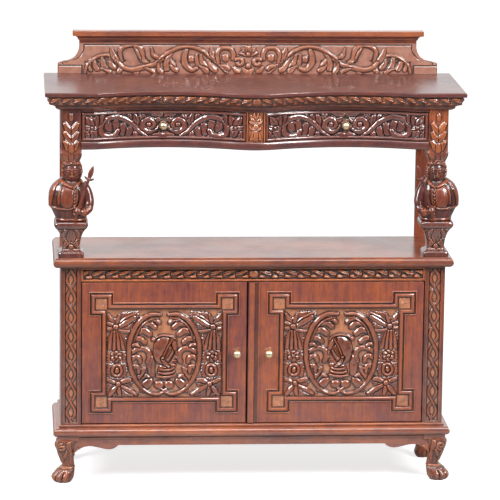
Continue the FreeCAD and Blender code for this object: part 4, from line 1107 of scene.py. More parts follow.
# right half: lobes from the foot up, then the rib and the band over their roots
def carveWreath(board, rise):
    full, low = rise, rise * 0.8
    for spots, widths in (
            (((64, -116), (57, -102), (44, -88)), (9, 14, 12)),
            (((66, -78), (56, -70), (46, -74)), (5, 7, 6)),
            (((82, -84), (70, -66), (59, -48)), (6, 9, 6.5)),
            (((97, -54), (86, -41), (77, -47), (76, -60)), (5, 7.5, 7.5, 6)),
            (((99, -24), (86, -11), (75, -17), (72, -28)), (5, 7.5, 8, 6.5)),
            (((98, 0), (82, 11), (62, 13), (48, 4), (44, -14), (50, -28)), (6, 7.5, 8.5, 9, 8.5, 7)),
            (((100, 22), (86, 26), (77, 20)), (5, 6.5, 5.5)), (((93, 44), (72, 43), (59, 33)), (7, 9.5, 8)),
            (((80, 64), (60, 69), (45, 58)), (7, 11, 9.5)), (((68, 84), (46, 91), (29, 79)), (6, 9.5, 8.5)),
            (((54, 100), (32, 104), (16, 93)), (5, 8, 6.5))):
        ridge(board, through(*spots), widths, (low, full, full), cut=0.24)
    ridge(board, through((18, 108), (46, 102), (68, 84), (82, 60), (91, 34)), (2.4, 3.4, 3.4, 3.0, 2.0), rise,
          cut=0.5)
    ridge(board, through((13, 118), (42, 118), (70, 102), (91, 72), (103, 38), (106, 2), (102, -38),
                         (91, -72), (72, -102), (49, -121), (25, -129), (8, -124), (-6, -112)),
          (6, 7.5, 8, 7.5, 7, 6, 5), full, cut=0.25)
    knob(board, (15, -99), 15.0, 14.0, rise * 1.15, 0.2)


# right half: toothed plates under the ribbons of two bows, a flower and a bud between
def carveBows(board, rise):
    full = rise
    for outline in (((116, 66), (112, 40), (116, 6), (170, 6), (173, 40), (158, 68)),
                    ((134, 66), (104, 62), (98, 78), (88, 98), (76, 112), (80, 127), (130, 125), (138, 108),
                     (152, 104), (160, 118), (174, 126), (174, 64)),
                    ((120, 8), (170, 8), (173, -10), (172, -34), (116, -34), (114, -12)),
                    ((114, -32), (172, -32), (173, -60), (172, -78), (116, -78), (110, -56)),
                    ((118, -78), (98, -74), (96, -94), (104, -108), (72, -128), (84, -136), (174, -136),
                     (174, -74))):
        plate(board, outline, full * 0.5, 4.2)
    for path, widths in (  # ribbons, from the tails up
            (((138, 64), (129, 36), (122, 12)), (5, 7, 6.5)),
            (((154, 66), (163, 42), (164, 14)), (5, 7, 6.5)),
            (((143, 66), (138, 36), (136, 11)), (5, 6.5, 6)),
            (((150, 66), (151, 36), (150, 11)), (5, 6.5, 6)),
            (((140, 72), (126, 66), (108, 66)), (5, 7, 6)), (((136, 92), (112, 110), (88, 121)), (4, 8, 5)),
            (((142, 79), (116, 92), (91, 109)), (6, 10, 8)),
            (((145, 88), (140, 102), (135, 116)), (5, 6.5, 4)),
            (((150, 88), (160, 102), (168, 118)), (5, 8, 5)),
            (((150, 84), (160, 90), (168, 91)), (5, 7, 6.5)),
            (((151, 77), (160, 74), (168, 74)), (5, 7, 6.5)),
            (((134, -92), (118, -85), (104, -85)), (5, 9, 8)),
            (((133, -100), (110, -112), (84, -129)), (5, 9, 6)),
            (((137, -103), (138, -116), (132, -131)), (5, 8, 6)),
            (((142, -101), (152, -114), (164, -130)), (5, 9, 7)),
            (((144, -94), (154, -88), (166, -84)), (5, 8, 7))):
        ridge(board, bend(*path), widths, (full * 0.9, full, full * 0.8), cut=0.2)
    for turn in range(6):  # flower of six petals
        angle = math.pi * (turn + 0.5) / 3
        lobe(board, (144, -11), (144 + 12 * math.cos(angle), -11 + 12 * math.sin(angle)), 0.0, 8.0, full)
    knob(board, (144, -11), 6.5, 6.5, full, 0.3)
    ridge(board, oval((142, -54), 14, 17), 5.4, full * 0.95, cut=0.3)  # bud in its ring
    knob(board, (142, -54), 7.5, 10.5, full, 0.3)
    knob(board, (146, 80), 9.5, 9.5, rise * 1.15, 0.25)
    knob(board, (138, -96), 9.0, 9.0, rise * 1.15, 0.25)


def carveHead(board, rise):  # a calm profile of plain proportions under a tall helmet, looking towards +u
    knob(board, (4, -60), 25, 26, rise * 1.0)  # neck and shoulder
    # neck guard
    ridge(board, bend((-34, -18), (-44, -40), (-36, -66)), (10, 13, 9), rise * 1.1, 0.15, cut=0.2)
    knob(board, (12, -8), 26, 40, rise * 1.1)  # face
    ridge(board, bend((29, 22), (35, 12), (33, 4)), (8, 7, 6), rise)  # forehead
    ridge(board, bend((34, 8), (39, -5), (42, -14)), (4.2, 4.2, 3.8), rise * 1.1)  # nose
    knob(board, (37, -14), 5.6, 4.0, rise * 1.1)
    ridge(board, bend((20, 6), (27, 8), (33, 5)), (1.8, 2.2, 1.4), rise * 1.3)  # eyelid
    knob(board, (28, 1), 3.6, 2.4, rise * 1.25)
    ridge(board, bend((26, -23), (33, -24), (37, -23)), (1.8, 2.5, 1.6), rise * 1.2)  # lips
    ridge(board, bend((26, -28), (32, -28.5), (36, -28)), (1.8, 2.5, 1.6), rise * 1.15)
    knob(board, (27, -38), 9, 8, rise * 1.1)  # chin
    ridge(board, bend((1, 18), (-3, 0), (-5, -10)), (33, 32, 27), rise * 1.45, cut=0.10)  # helmet bowl
    ridge(board, bend((22, 38), (31, 26), (33, 12)), (9, 9, 6), rise * 1.3, cut=0.2)  # peak
    # crest
    ridge(board, bend((-30, 44), (-12, 58), (20, 58), (36, 40)), (3.0, 4.0, 3.0), rise * 1.1, cut=0.35)
    knob(board, (-33, 42), 7.5, 7.5, rise * 1.2, 0.25)
    ridge(board, bend((24, 44), (10, 20), (-4, -10)), (3.2, 4.2, 3.6), rise * 1.6, cut=0.5)  # strap
    ridge(board, bend((21, 10), (12, -2), (5, -14)), (2.4, 3.4, 2.4), rise * 1.5, cut=0.5)
    ridge(board, bend((-6, -16), (0, -32), (16, -44)), (6, 7, 4.5), rise * 1.3, 0.3, cut=0.3)  # cheek guard
    knob(board, (-5, -14), 6.0, 6.0, rise * 1.65, 0.3)
    for drop in (0, 11, 22):  # folds of the collar
        ridge(board, bend((-10 - drop * 0.5, -50 - drop), (10, -58 - drop), (27 + drop * 0.2, -47 - drop)),
              (4, 6, 4.5), rise * 1.15, cut=0.35)


def carveDoor(look):  # both halves of the ornament, shared by the two doors
    board = flatBoard((-look["halfWidth"], -look["halfHeight"]), (look["halfWidth"], look["halfHeight"]),
                      look["step"])

    def carve(strayed):
        carveBows(strayed, look["rise"])
        carveWreath(strayed, look["rise"])

    handCut(board, carve, *look["hand"])
    mirrorBoard(board)
    return board


def makeDoorPanel(side, look, ornament):
    low, high = nodeBox(f"{side}_door_panel")
    middle = (low + high) / 2
    u, v = ornament["u"], ornament["v"]
    head = makeBoard(u if side == "left" else -u, v)
    handCut(head, lambda strayed: carveHead(strayed, look["rise"]), *look["headHand"])
    height = np.maximum(ornament["height"], head["height"])
    placed = {"u": u + middle[0], "v": v + middle[2], "height": height}
    front = flatPlace(placed, low[1], -look["seat"])
    makeSheet(f"{side}_door_carving", front, backLines(front, low[1] + look["sunk"]),
              woodFor("panel", "upright"), carvingMarks(height), f"{side}_door")


doorOrnament = carveDoor(doorPanel)
for side in sides:
    makeDoorPanel(side, doorPanel, doorOrnament)
print("door panels carved")

# round forms: rings of points round an upright axis, with carving drawn on their unrolled skin
def ringTurns(around):  # turn of each point of a ring, in radians from the front towards +x
    return 2 * np.pi * np.arange(around) / around - np.pi


def skinBoard(turn, level, girth):  # unrolled skin: u is the turn times a mean radius, v the height
    u, v = np.broadcast_arrays(turn * girth, level)
    return makeBoard(u.copy(), v.copy())


def roundSection(turn, halfWidth, halfFront, halfBack, power):
    # superellipse: |x / a|^n + |y / b|^n = 1, with a deeper or shallower back half
    side, ahead = np.sin(turn), np.cos(turn)
    reach = (np.abs(side)**power + np.abs(ahead)**power)**(-1.0 / power)
    x = halfWidth * side * reach
    y = -np.where(ahead > 0, halfFront, halfBack) * ahead * reach
    return x, y


def pushOut(x, y, height):  # moves points away from their axis by the carved height
    away = np.maximum(np.hypot(x, y), 1e-6)
    return x + height * x / away, y + height * y / away


def sweepTube(path, widths, depths, around):
    # elliptical rings square to a path, with one axis kept square to the depth
    path = np.asarray(path, float)
    along = np.gradient(path, axis=0)
    along /= np.linalg.norm(along, axis=1)[:, None]
    across = np.cross(along, np.array([0.0, 1.0, 0.0]))
    across /= np.linalg.norm(across, axis=1)[:, None]
    third = np.cross(along, across)
    angle = 2 * np.pi * np.arange(around) / around
    share = np.linspace(0, 1, len(path))
    wide = np.interp(share, np.linspace(0, 1, len(widths)), widths)
    deep = np.interp(share, np.linspace(0, 1, len(depths)), depths)
    return (path[:, None] + (wide[:, None] * np.cos(angle))[..., None] * across[:, None]
            + (deep[:, None] * np.sin(angle))[..., None] * third[:, None])


def mirrorRound(height):  # the carved half of a ring is copied to the other side of its front
    return np.maximum(height, np.roll(height[:, ::-1], 1, axis=1))


columnAxis = {side: (nodeBox(f"{side}_front_post")[0] + nodeBox(f"{side}_front_post")[1])[:2] / 2
              for side in sides}


def onColumn(points, side):  # from the left column's own axes, +x inwards, to the frame
    placed = np.array(points, float)
    if side == "right":
        placed[..., 0] = -placed[..., 0]
    placed[..., :2] += columnAxis[side]
    return placed


frontCosine = 0.7  # cosine of the turn at the edges of a square form's front

# posts: square shafts with a bud, three pairs of leaves and an acorn on the front
post = {"around": 200, "rows": 150, "rise": 3.0, "sink": 1.6, "sinkFrom": 30.0, "power": 14.0, "swell": 2.0,
        "swellHigh": 10.0, "margin": 4.0, "marginEase": 2.0, "sinkEase": 8.0}


def carvePost(board, low, look):
    rise = look["rise"]
    knob(board, (0, low + 107), 7.0, 12.0, rise, 0.15)  # bud
    for level in (56, 29, 2):  # pairs of leaves, from the top
        plate(board, ((0, low + level + 21), (15, low + level + 39), (25, low + level + 32),
                      (17, low + level + 8), (0, low + level - 4)), rise)
        ridge(board, bend((2, low + level + 16), (9, low + level + 21), (18, low + level + 33)),
              (2.2, 3.2, 1.6), rise * 1.25)
    knob(board, (0, low + 15), 10.0, 17.0, rise * 1.5, 0.15)  # acorn


def makePost(side, look):
    low, high = nodeBox(f"{side}_front_post")
    half = (high[0] - low[0]) / 2
    level = np.linspace(low[2], high[2], look["rows"])[:, None]
    turn = ringTurns(look["around"])[None, :]
    width = half + look["swell"] * np.clip(1 - (level - low[2]) / look["swellHigh"], 0, 1)**1.5
    x, y = roundSection(turn, width, width, width, look["power"])
    board = makeBoard(x, level * np.ones_like(turn))
    carvePost(board, low[2], look)
    onFront = np.cos(turn) > frontCosine
    height = mirrorRound(board["height"]) * onFront
    inField = (np.abs(x) < half - look["margin"]) & onFront
    sink = look["sink"] * np.clip((level - low[2] - look["sinkFrom"]) / look["sinkEase"], 0, 1)
    fromMargin = np.clip((half - look["margin"] - np.abs(x)) / look["marginEase"], 0, 1)
    y = y + np.where(inField, sink * fromMargin - height, 0.0)
    rings = onColumn(np.stack([x, y, board["v"]], -1), side)
    piece = makeTube(f"{side}_post_carved", rings, woodFor("carved", "upright"), cavityMarks(height, 3, 0.8))
    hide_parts(f"{side}_front_post")


for side in sides:
    makePost(side, post)
print("posts carved")

# pedestals: square vases under the figures, with hanging leaves on the front
pedestal = {
    "around": 220, "rows": 130, "power": 9.0, "rise": 5.0,
    "levels": (0.0, 3.0, 12.0, 16.0, 20.0, 24.0, 36.0, 48.0, 62.0, 74.0, 82.0, 86.0, 89.0, 93.0, 99.0, 104.0,
               108.0, 110.0),
    "halves": (37.5, 39.0, 39.0, 37.0, 30.0, 26.5, 26.5, 28.0, 31.0, 35.5, 40.0, 43.0, 46.0, 49.0, 51.0, 50.5,
               48.5, 46.5),
}


def carvePedestal(board, low, rise):
    ridge(board, through((0, low + 24), (22, low + 25), (23, low + 46), (29, low + 72), (33, low + 82),
                         (0, low + 84)),
          2.2, rise * 0.5, cut=0.6)  # border
    leaf(board, (22, low + 30), (16, low + 56), 0.2, 7.0, rise * 0.9)
    leaf(board, (6, low + 48), (24, low + 64), -0.2, 8.0, rise)
    leaf(board, (4, low + 52), (18, low + 30), 0.25, 9.0, rise)
    leaf(board, (14, low + 82), (20, low + 58), 0.18, 9.0, rise)  # hanging leaves
    leaf(board, (3, low + 80), (5, low + 44), 0.1, 9.0, rise)
    knob(board, (0, low + 32), 8.0, 8.0, rise, 0.25)


def makePedestal(side, look):
    low, high = nodeBox(f"{side}_pedestal")
    level = np.linspace(0, high[2] - low[2], look["rows"])[:, None]
    turn = ringTurns(look["around"])[None, :]
    half = np.interp(level, look["levels"], look["halves"])
    x, y = roundSection(turn, half, half, half, look["power"])
    board = makeBoard(x, (level + low[2]) * np.ones_like(turn))
    carvePedestal(board, low[2], look["rise"])
    height = mirrorRound(board["height"]) * (np.cos(turn) > frontCosine)
    x, y = x * np.ones_like(height), y - height
    rings = onColumn(np.stack([x, y, board["v"]], -1), side)
    piece = makeTube(f"{side}_pedestal_carved", rings, woodFor("panel", "upright"), cavityMarks(height))
    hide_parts(f"{side}_pedestal")


for side in sides:
    makePedestal(side, pedestal)
print("pedestals carved")

# figures: a caped guard with curled hair, holding a spear; sizes from the foot of the figure, +x inwards
figure = {
    "levels": (0.0, 3.0, 8.0, 26.0, 37.0, 41.0, 46.0, 62.0, 80.0, 95.0, 107.0, 117.0, 126.0, 132.0),
    "outer": (43.0, 46.0, 46.5, 55.0, 60.0, 64.0, 66.5, 67.0, 66.0, 62.5, 56.0, 46.0, 33.0, 22.0),
    "inner": (45.0, 47.5, 47.0, 48.0, 47.5, 47.0, 46.5, 46.0, 45.0, 43.0, 40.0, 34.0, 27.0, 20.0),
    "front": (40.0, 42.0, 41.0, 44.0, 46.0, 47.0, 48.0, 48.0, 45.0, 41.0, 36.0, 31.0, 25.0, 18.0),
    "back": (38.0, 40.0, 39.0, 41.0, 42.0, 43.0, 43.0, 42.0, 40.0, 37.0, 33.0, 28.0, 23.0, 19.0),
    "around": 240, "rows": 160, "power": 2.5, "rise": 4.5, "foldRise": 2.2, "folds": 22, "foldFade": 30.0,
    "facing": 2.2,
}


# seen from the front: smooth cape with a fold, collar, buttons, cuff and hem
def carveRobe(board, foot, rise):
    # cape hem
    ridge(board, bend((-66, foot + 48), (-34, foot + 34), (6, foot + 42)), (3.0, 4.0, 3.0), rise * 0.9,
          cut=0.2)
    knob(board, (-11, foot + 77), 25, 36, rise * 1.5, 0.08)  # chest
    # cape edge
    ridge(board, bend((-34, foot + 122), (-62, foot + 98), (-62, foot + 52)), (4, 7, 5), rise * 0.9, cut=0.2)
    ridge(board, bend((-26, foot + 104), (-36, foot + 84), (-36, foot + 56)), (2.5, 4.6, 3.0), rise * 1.1,
          cut=0.3)
    ridge(board, bend((16, foot + 98), (20, foot + 72), (10, foot + 44)), (3.0, 4.5, 3.0), rise * 0.8,
          cut=0.3)
    # collar
    ridge(board, bend((-30, foot + 124), (-14, foot + 110), (7, foot + 102)), (4, 5.5, 3.5), rise * 1.4,
          cut=0.35)
    ridge(board, bend((29, foot + 122), (19, foot + 112), (7, foot + 102)), (4, 5.5, 3.5), rise * 1.3,
          cut=0.35)
    for step in range(5):
        knob(board, (10 - 0.4 * step, foot + 90 - 10 * step), 4.0, 4.4, rise * 1.1, 0.3)  # buttons
    for step in range(9):  # ruffled cuff
        knob(board, (10 + 8 * (step % 3), foot + 24 + 10 * (step // 3)), 5.0, 5.5, rise * 1.2, 0.3)
    ridge(board, bend((-45, foot + 5), (0, foot + 6), (47, foot + 5)), 4.4, rise * 0.6, cut=0.3)  # hem


def makeRobe(side, look, foot):
    turn = ringTurns(look["around"])[None, :]
    level = np.linspace(0, look["levels"][-1], look["rows"])[:, None]
    size = {key: np.interp(level, look["levels"], look[key]) for key in ("outer", "inner", "front", "back")}
    width = np.where(np.sin(turn) > 0, size["inner"], size["outer"])
    x, y = roundSection(turn, width, size["front"], size["back"], look["power"])
    board = makeBoard(x, (level + foot) * np.ones_like(turn))
    carveRobe(board, foot, look["rise"])
    facing = np.clip(np.cos(turn) * look["facing"], 0, 1)
    folds = look["foldRise"] * (0.5 + 0.5 * np.cos(turn * look["folds"])) * np.clip(-np.cos(turn) * 2, 0, 1)
    folds = folds * np.clip(level / look["foldFade"], 0, 1)
    fade = np.clip((look["levels"][-1] - level) / look["foldFade"], 0, 1)
    height = board["height"] * facing + folds * fade
    x, y = pushOut(x, y, height)
    rings = onColumn(np.stack([x, y, board["v"]], -1), side)
    return makeTube(f"{side}_figure_robe", rings, woodFor("figure", "upright"), cavityMarks(height), 60.0)


headForm = {"centre": (2.0, -13.0, 150.0), "half": (27.0, 27.0, 35.0), "faceScale": 1.15, "around": 180,
            "rows": 130, "curl": 6.6, "poleTurn": 0.497, "jawSlim": 0.16, "socket": 1.8, "eyeOut": 8.6,
            "facing": 2.5, "hairRise": 1.2}


def carveFace(board):  # plain proportions: eyes at mid height, nose base and chin by thirds
    ridge(board, bend((0, 5), (0, -2), (0, -10)), (2.4, 2.6, 3.8), (2.2, 4.2, 7.4))  # nose
    knob(board, (0, -10.5), 3.9, 3.2, 8.4)
    knob(board, (4.2, -11.4), 2.7, 2.3, 4.6)
    ridge(board, bend((2.5, 5.5), (9, 8), (15, 4)), (2.2, 2.8, 2.0), (2.4, 3.0, 2.0))  # brow
    knob(board, (8.6, 0), 4.6, 2.7, 2.1)  # eye
    ridge(board, bend((4.2, -0.4), (8.6, 4.2), (13.2, -0.2)), 0.9, 2.4)  # lids
    ridge(board, bend((4.6, -1.0), (8.6, -3.8), (12.8, -0.8)), 0.8, 1.9)
    knob(board, (11.5, -8), 6.5, 6.5, 1.2)  # cheek
    ridge(board, bend((0.5, -14.5), (6, -15), (12, -20)), (2.0, 2.8, 1.6), (3.6, 3.8, 2.6), 0.3)  # moustache
    ridge(board, bend((-0.5, -18.8), (3, -18.6), (5.5, -19.2)), (1.6, 1.5, 1.0), (3.0, 2.8, 1.6))  # lips
    ridge(board, bend((-0.5, -21.4), (3, -21.6), (5.0, -21.0)), (1.8, 1.7, 1.0), (3.0, 2.6, 1.6))
    for at in (0.0, 4.0, 8.0, 12.0, 15.5):  # short beard
        ridge(board, bend((at, -24 + 0.75 * at), (at * 0.8, -30), (at * 0.35, -37 + 0.3 * at)),
              (2.2, 2.8, 1.4), (3.2, 4.4, 2.4))


def makeHead(side, look, foot):
    turn = ringTurns(look["around"])[None, :]
    polar = np.linspace(-look["poleTurn"], look["poleTurn"], look["rows"])[:, None] * np.pi
    halfX, halfY, halfZ = look["half"]
    jaw = 1 - look["jawSlim"] * np.clip(-np.sin(polar), 0, 1)**1.5 * np.clip(np.cos(turn) + 0.4, 0, 1)
    x = halfX * np.cos(polar) * np.sin(turn) * jaw
    y = -halfY * np.cos(polar) * np.cos(turn) * jaw
    z = halfZ * np.sin(polar) * np.ones_like(turn)
    face = makeBoard(x / look["faceScale"], z / look["faceScale"])
    carveFace(face)
    carved = mirrorRound(face["height"]) * np.clip(np.cos(turn) * look["facing"], 0, 1)
    fromEye = ((np.abs(face["u"]) - look["eyeOut"]) / 5.0)**2 + ((face["v"] - 0.5) / 3.6)**2
    socket = np.exp(-fromEye) * (np.cos(turn) > 0)
    carved = carved - look["socket"] * socket
    hair = skinBoard(turn, polar * halfZ, halfX)
    rows = {24.0: (0.28, 0.72, 1.15, 1.65, 2.15, 2.65, 3.05), 12.0: (1.25, 1.75, 2.3, 2.85),
            0.0: (1.4, 1.9, 2.5, 3.05),
            -12.0: (1.35, 1.85, 2.4, 2.95), -24.0: (1.6, 2.1, 2.7), 36.0: (0.3, 0.8, 1.3, 1.9, 2.5, 3.05)}
    for level, turns in rows.items():
        for at in [way * place for way in (-1, 1) for place in turns]:
            ridge(hair, coil((at * halfX, level), look["curl"], 1.6, 0.2 + at, 1.3), (2.6, 2.0, 1.4),
                  (4.4, 4.8, 5.4))
    hairLine = np.clip((np.abs(turn) - 1.0 + 0.9 * np.clip((polar * halfZ - 13) / 8, 0, 1.3)) * 5, 0, 1)
    height = np.maximum(carved, hair["height"] * hairLine) + look["hairRise"] * hairLine
    pole = np.clip((look["poleTurn"] * np.pi - np.abs(polar)) * 6, 0, 1)
    away = np.stack([x / halfX, y / halfY, z / halfZ], -1)
    points = np.stack([x, y, z], -1) + (height * pole)[..., None] * away
    points += np.array(look["centre"]) + np.array([0, 0, foot])
    makeTube(f"{side}_figure_head", onColumn(points, side), woodFor("figure", "upright"),
             cavityMarks(height, 3, 1.7), 70.0)


armForm = {"path": ((34, -8, 112), (54, -14, 86), (64, -22, 36), (50, -40, 20), (20, -52, 34)),
           "widths": (12.0, 15.0, 15.0, 13.5, 11.5, 9.0), "fist": (19.0, -54.0, 36.0),
           "fistHalf": (10.5, 9.5, 11.5), "creaseRise": 0.8, "cuffRise": 2.6, "cuffAt": 0.86,
           "cuffHalf": 0.035, "elbowAt": 0.62, "around": 44,
           "fistAround": 40, "fistRows": 36, "fistPole": 0.49}


def makeArm(side, look, foot):  # bent sleeve with creases, a cuff and a closed fist round the spear
    path = bend(*look["path"], count=90) + np.array([0, 0, foot])
    rings = sweepTube(path, look["widths"], look["widths"], look["around"])
    share = np.linspace(0, 1, len(path))[:, None]
    angle = 2 * np.pi * np.arange(rings.shape[1]) / rings.shape[1]
    atElbow = np.clip(1 - np.abs(share - look["elbowAt"]) * 4.0, 0, 1)
    crease = look["creaseRise"] * np.sin(share * 30 + 2.2 * np.cos(angle)) * atElbow
    cuff = look["cuffRise"] * np.exp(-((share - look["cuffAt"]) / look["cuffHalf"])**2)
    outward = rings - path[:, None]
    outward /= np.linalg.norm(outward, axis=2)[..., None]
    height = crease + cuff * np.ones_like(angle)
    rings = rings + height[..., None] * outward
    makeTube(f"{side}_figure_arm", onColumn(rings, side), woodFor("figure", "upright"),
             {"cavity": np.clip(height / 1.6, -1, 1)}, 60.0)
    turn = ringTurns(look["fistAround"])[None, :]
    polar = np.linspace(-look["fistPole"], look["fistPole"], look["fistRows"])[:, None] * np.pi
    fingers = 1.0 + 0.10 * np.abs(np.cos(polar * 3.2)) * np.clip(np.cos(turn) + 0.3, 0, 1)
    ball = np.stack([np.cos(polar) * np.sin(turn) * fingers, -np.cos(polar) * np.cos(turn) * fingers,
                     np.sin(polar) * np.ones_like(turn)], -1) * np.array(look["fistHalf"])
    ball = ball + np.array(look["fist"]) + np.array([0, 0, foot])
    dents = np.clip((fingers - 1.05) * 20, -1, 1) * np.ones_like(turn)
    makeTube(f"{side}_figure_fist", onColumn(ball, side), woodFor("figure", "upright"), {"cavity": dents},
             60.0)


calyx = {"around": 160, "rows": 60, "levels": (170.0, 178.0, 184.0, 189.0, 194.0, 199.0, 203.0, 206.0),
         "halves": (22.0, 24.0, 26.0, 27.5, 29.0, 30.4, 31.4, 32.0), "leaves": 12, "rise": 2.6,
         "roundPower": 2.6, "squarePower": 11.4}


def makeCalyx(side, look, foot):  # cup of upright leaves that opens from the head to the post
    turn = ringTurns(look["around"])[None, :]
    level = np.linspace(look["levels"][0], look["levels"][-1], look["rows"])[:, None]
    half = np.interp(level, look["levels"], look["halves"])
    share = (level - look["levels"][0]) / (look["levels"][-1] - look["levels"][0])
    leafTurn = np.abs(np.cos(turn * look["leaves"] / 2))
    height = look["rise"] * np.sqrt(leafTurn) * np.clip((1 - share) * 3, 0, 1)
    x, y = roundSection(turn, half + height, half + height, half + height,
                        look["roundPower"] + look["squarePower"] * share**3)
    points = np.stack([x, y, (level + foot) * np.ones_like(turn)], -1)
    makeTube(f"{side}_figure_calyx", onColumn(points, side), woodFor("carved", "upright"),
             cavityMarks(height), 60.0)


spear = {"butt": (12.0, -57.0, 12.0), "tip": (65.0, -57.0, 173.0), "shaft": 4.2, "headFrom": 0.72,
         "bladeShares": (0.0, 0.10, 0.16, 0.24, 0.42, 0.62, 0.85, 1.0),
         "bladeWidths": (4.0, 6.0, 4.8, 5.4, 7.6, 7.2, 4.2, 0.4),
         "bladeDepths": (3.6, 5.2, 3.6, 3.2, 3.2, 2.8, 1.8, 0.4),
         "lugShare": 0.74, "lugReach": 14.0, "lugLift": 7.0, "lugDip": 2.0, "around": 32, "lugAround": 20,
         "lugWidths": (2.0, 3.6, 4.0, 3.6, 2.0), "lugDepths": (2.0, 3.2, 3.8, 3.2, 2.0)}


def makeSpear(side, look, foot):  # round shaft, collar, leaf blade with a midrib, and two lugs
    butt, tip = (np.array(look[key]) + np.array([0, 0, foot]) for key in ("butt", "tip"))
    shares = np.concatenate([np.linspace(0, look["headFrom"], 30)[:-1], np.linspace(look["headFrom"], 1, 60)])
    path = butt + shares[:, None] * (tip - butt)
    inHead = (shares - look["headFrom"]) / (1 - look["headFrom"])
    wide = np.where(inHead > 0, np.interp(inHead, look["bladeShares"], look["bladeWidths"]), look["shaft"])
    deep = np.where(inHead > 0, np.interp(inHead, look["bladeShares"], look["bladeDepths"]), look["shaft"])
    rings = sweepTube(path, wide, deep, look["around"])
    marks = {"cavity": np.where(inHead > 0, 0.3, -0.1)[:, None] * np.ones(look["around"])}
    shaft = makeTube(f"{side}_spear", onColumn(rings, side), woodFor("figure", "upright"), marks, 50.0)
    heading = (tip - butt) / np.linalg.norm(tip - butt)
    across = np.cross(heading, np.array([0.0, 1.0, 0.0]))
    root = butt + look["lugShare"] * (tip - butt)
    reach = look["lugReach"]
    lift, dip = look["lugLift"] * heading, look["lugDip"] * heading
    line = bend(root - reach * across + lift, root - reach * 0.5 * across - dip,
                root + reach * 0.5 * across - dip, root + reach * across + lift, count=36)
    lugs = sweepTube(line, look["lugWidths"], look["lugDepths"], look["lugAround"])
    makeTube(f"{side}_spear_lugs", onColumn(lugs, side), woodFor("figure", "upright"), None, 50.0)
    return shaft


def makeFigures():
    for side in sides:
        foot = nodeBox(f"{side}_figure")[0][2]
        robe = makeRobe(side, figure, foot)
        makeHead(side, headForm, foot)
        makeArm(side, armForm, foot)
        makeCalyx(side, calyx, foot)
        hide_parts(f"{side}_figure")
        makeSpear(side, spear, foot)
    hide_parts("spears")


makeFigures()
print("figures carved")

# feet: cabriole legs with volutes on the knee, a cuff and a bulbous paw
pawFoot = {
    "around": 200, "rows": 170, "power": 2.3, "rise": 3.6, "toes": 5, "toeCut": 6.0, "toeTop": 36.0,
    "fur": 0.8, "girth": 24.0,
    "levels": (0.0, 5.3, 13.2, 21.1, 31.0, 38.9, 44.0, 47.5, 52.8, 71.3, 91.1, 113.5, 126.0, 134.0),
    "ahead": (16.5, 19.1, 19.1, 17.2, 11.9, 7.9, 3.5, 1.3, -0.7, 3.3, 6.6, 9.2, 7.0, 4.0),
    "forward": (0.0, 0.0, 0.0, 0.0, 0.0, 0.0, 0.0, 0.0, 1.0, 3.0, 6.0, 8.0, 8.5, 8.0),
    "lengths": (22.5, 28.5, 33.5, 33.5, 29.5, 26.0, 21.5, 19.0, 18.0, 19.5, 23.5, 28.0, 30.5, 31.5),
    "widths": (21.5, 26.5, 31.0, 31.0, 28.0, 24.5, 20.5, 18.5, 17.5, 19.0, 23.0, 28.0, 30.5, 31.5),
    "middleX": 555.0, "frontY": -128.65, "rearY": 122.35, "rearSlim": 0.75, "blockHalf": 33.0,
    "blockFrom": 132.0,
}


def carveLeg(board, rise):  # u round the leg from the toe side, v the height
    for way in (1, -1):
        # knee volute
        ridge(board, coil((way * 17, 112), 13, 4, 0.5 - way * 0.25, way * 1.15), (3.4, 4.6, 3.6), rise)
        ridge(board, bend((way * 30, 100), (way * 23, 82), (way * 6, 64)), (2.5, 4.5, 2.5), rise, 0.3)
        leaf(board, (way * 4, 98), (way * 9, 58), way * 0.15, 6.0, rise)
        leaf(board, (way * 34, 128), (way * 46, 90), -way * 0.15, 6.5, rise * 0.8)
        leaf(board, (way * 42, 96), (way * 36, 58), way * 0.15, 6.0, rise * 0.8)
    leaf(board, (0, 128), (0, 78), 0.0, 7.5, rise)
    ridge(board, bend((-90, 46), (0, 46), (90, 46)), 3.0, rise * 0.8)  # cuff


def makeFoot(node, look, heading):
    # rings along the leg; ahead moves a ring's middle towards the toe, toes part the paw by |cos|
    low, high = nodeBox(node)
    isFront = low[1] < 0
    middle = np.array([math.copysign(look["middleX"], low[0] + high[0]),
                       look["frontY"] if isFront else look["rearY"]])
    slim = 1.0 if isFront else look["rearSlim"]
    level = np.linspace(0, look["levels"][-1], look["rows"])[:, None]
    turn = ringTurns(look["around"])[None, :]
    keys = ("ahead", "forward", "lengths", "widths")
    size = {key: np.interp(level, look["levels"], look[key]) for key in keys}
    board = skinBoard(turn, level * np.ones_like(turn), look["girth"])
    carveLeg(board, look["rise"])
    inToe = np.clip(np.cos(turn) + 0.35, 0, 1) * np.clip((look["toeTop"] - level) / 10, 0, 1)
    toe = np.abs(np.cos(turn * look["toes"] * 0.86))
    fur = look["fur"] * np.sin(turn * 34 + level * 0.25) * np.clip(1 - np.abs(level - 38) / 8, 0, 1)
    height = board["height"] - look["toeCut"] * inToe * (1 - toe)**1.5 + fur
    height = height * np.clip((look["levels"][-1] - level) / 6, 0, 1)
    x, y = roundSection(turn, size["widths"] * slim, size["lengths"] * slim, size["lengths"] * slim,
                        look["power"])
    x, y = pushOut(x, y, height * slim)
    y = y - size["ahead"] * isFront
    cosine, sine = math.cos(heading), math.sin(heading)
    forward = size["forward"] * isFront
    placed = np.stack([middle[0] + cosine * x - sine * y, middle[1] + sine * x + cosine * y - forward,
                       board["v"]], -1)
    piece = makeTube(f"{node}_paw", placed, woodFor("carved", "upright"), cavityMarks(height, 3, 0.8), 60.0)
    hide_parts(node)
    half = look["blockHalf"]
    block = np.array([[(middle[0] + sx * half, middle[1] + sy * half, z) for sx, sy in
                       ((-1, -1), (1, -1), (1, 1), (-1, 1))] for z in (look["blockFrom"], high[2])])
    makeTube(f"{node}_block", block, woodFor("amber"))


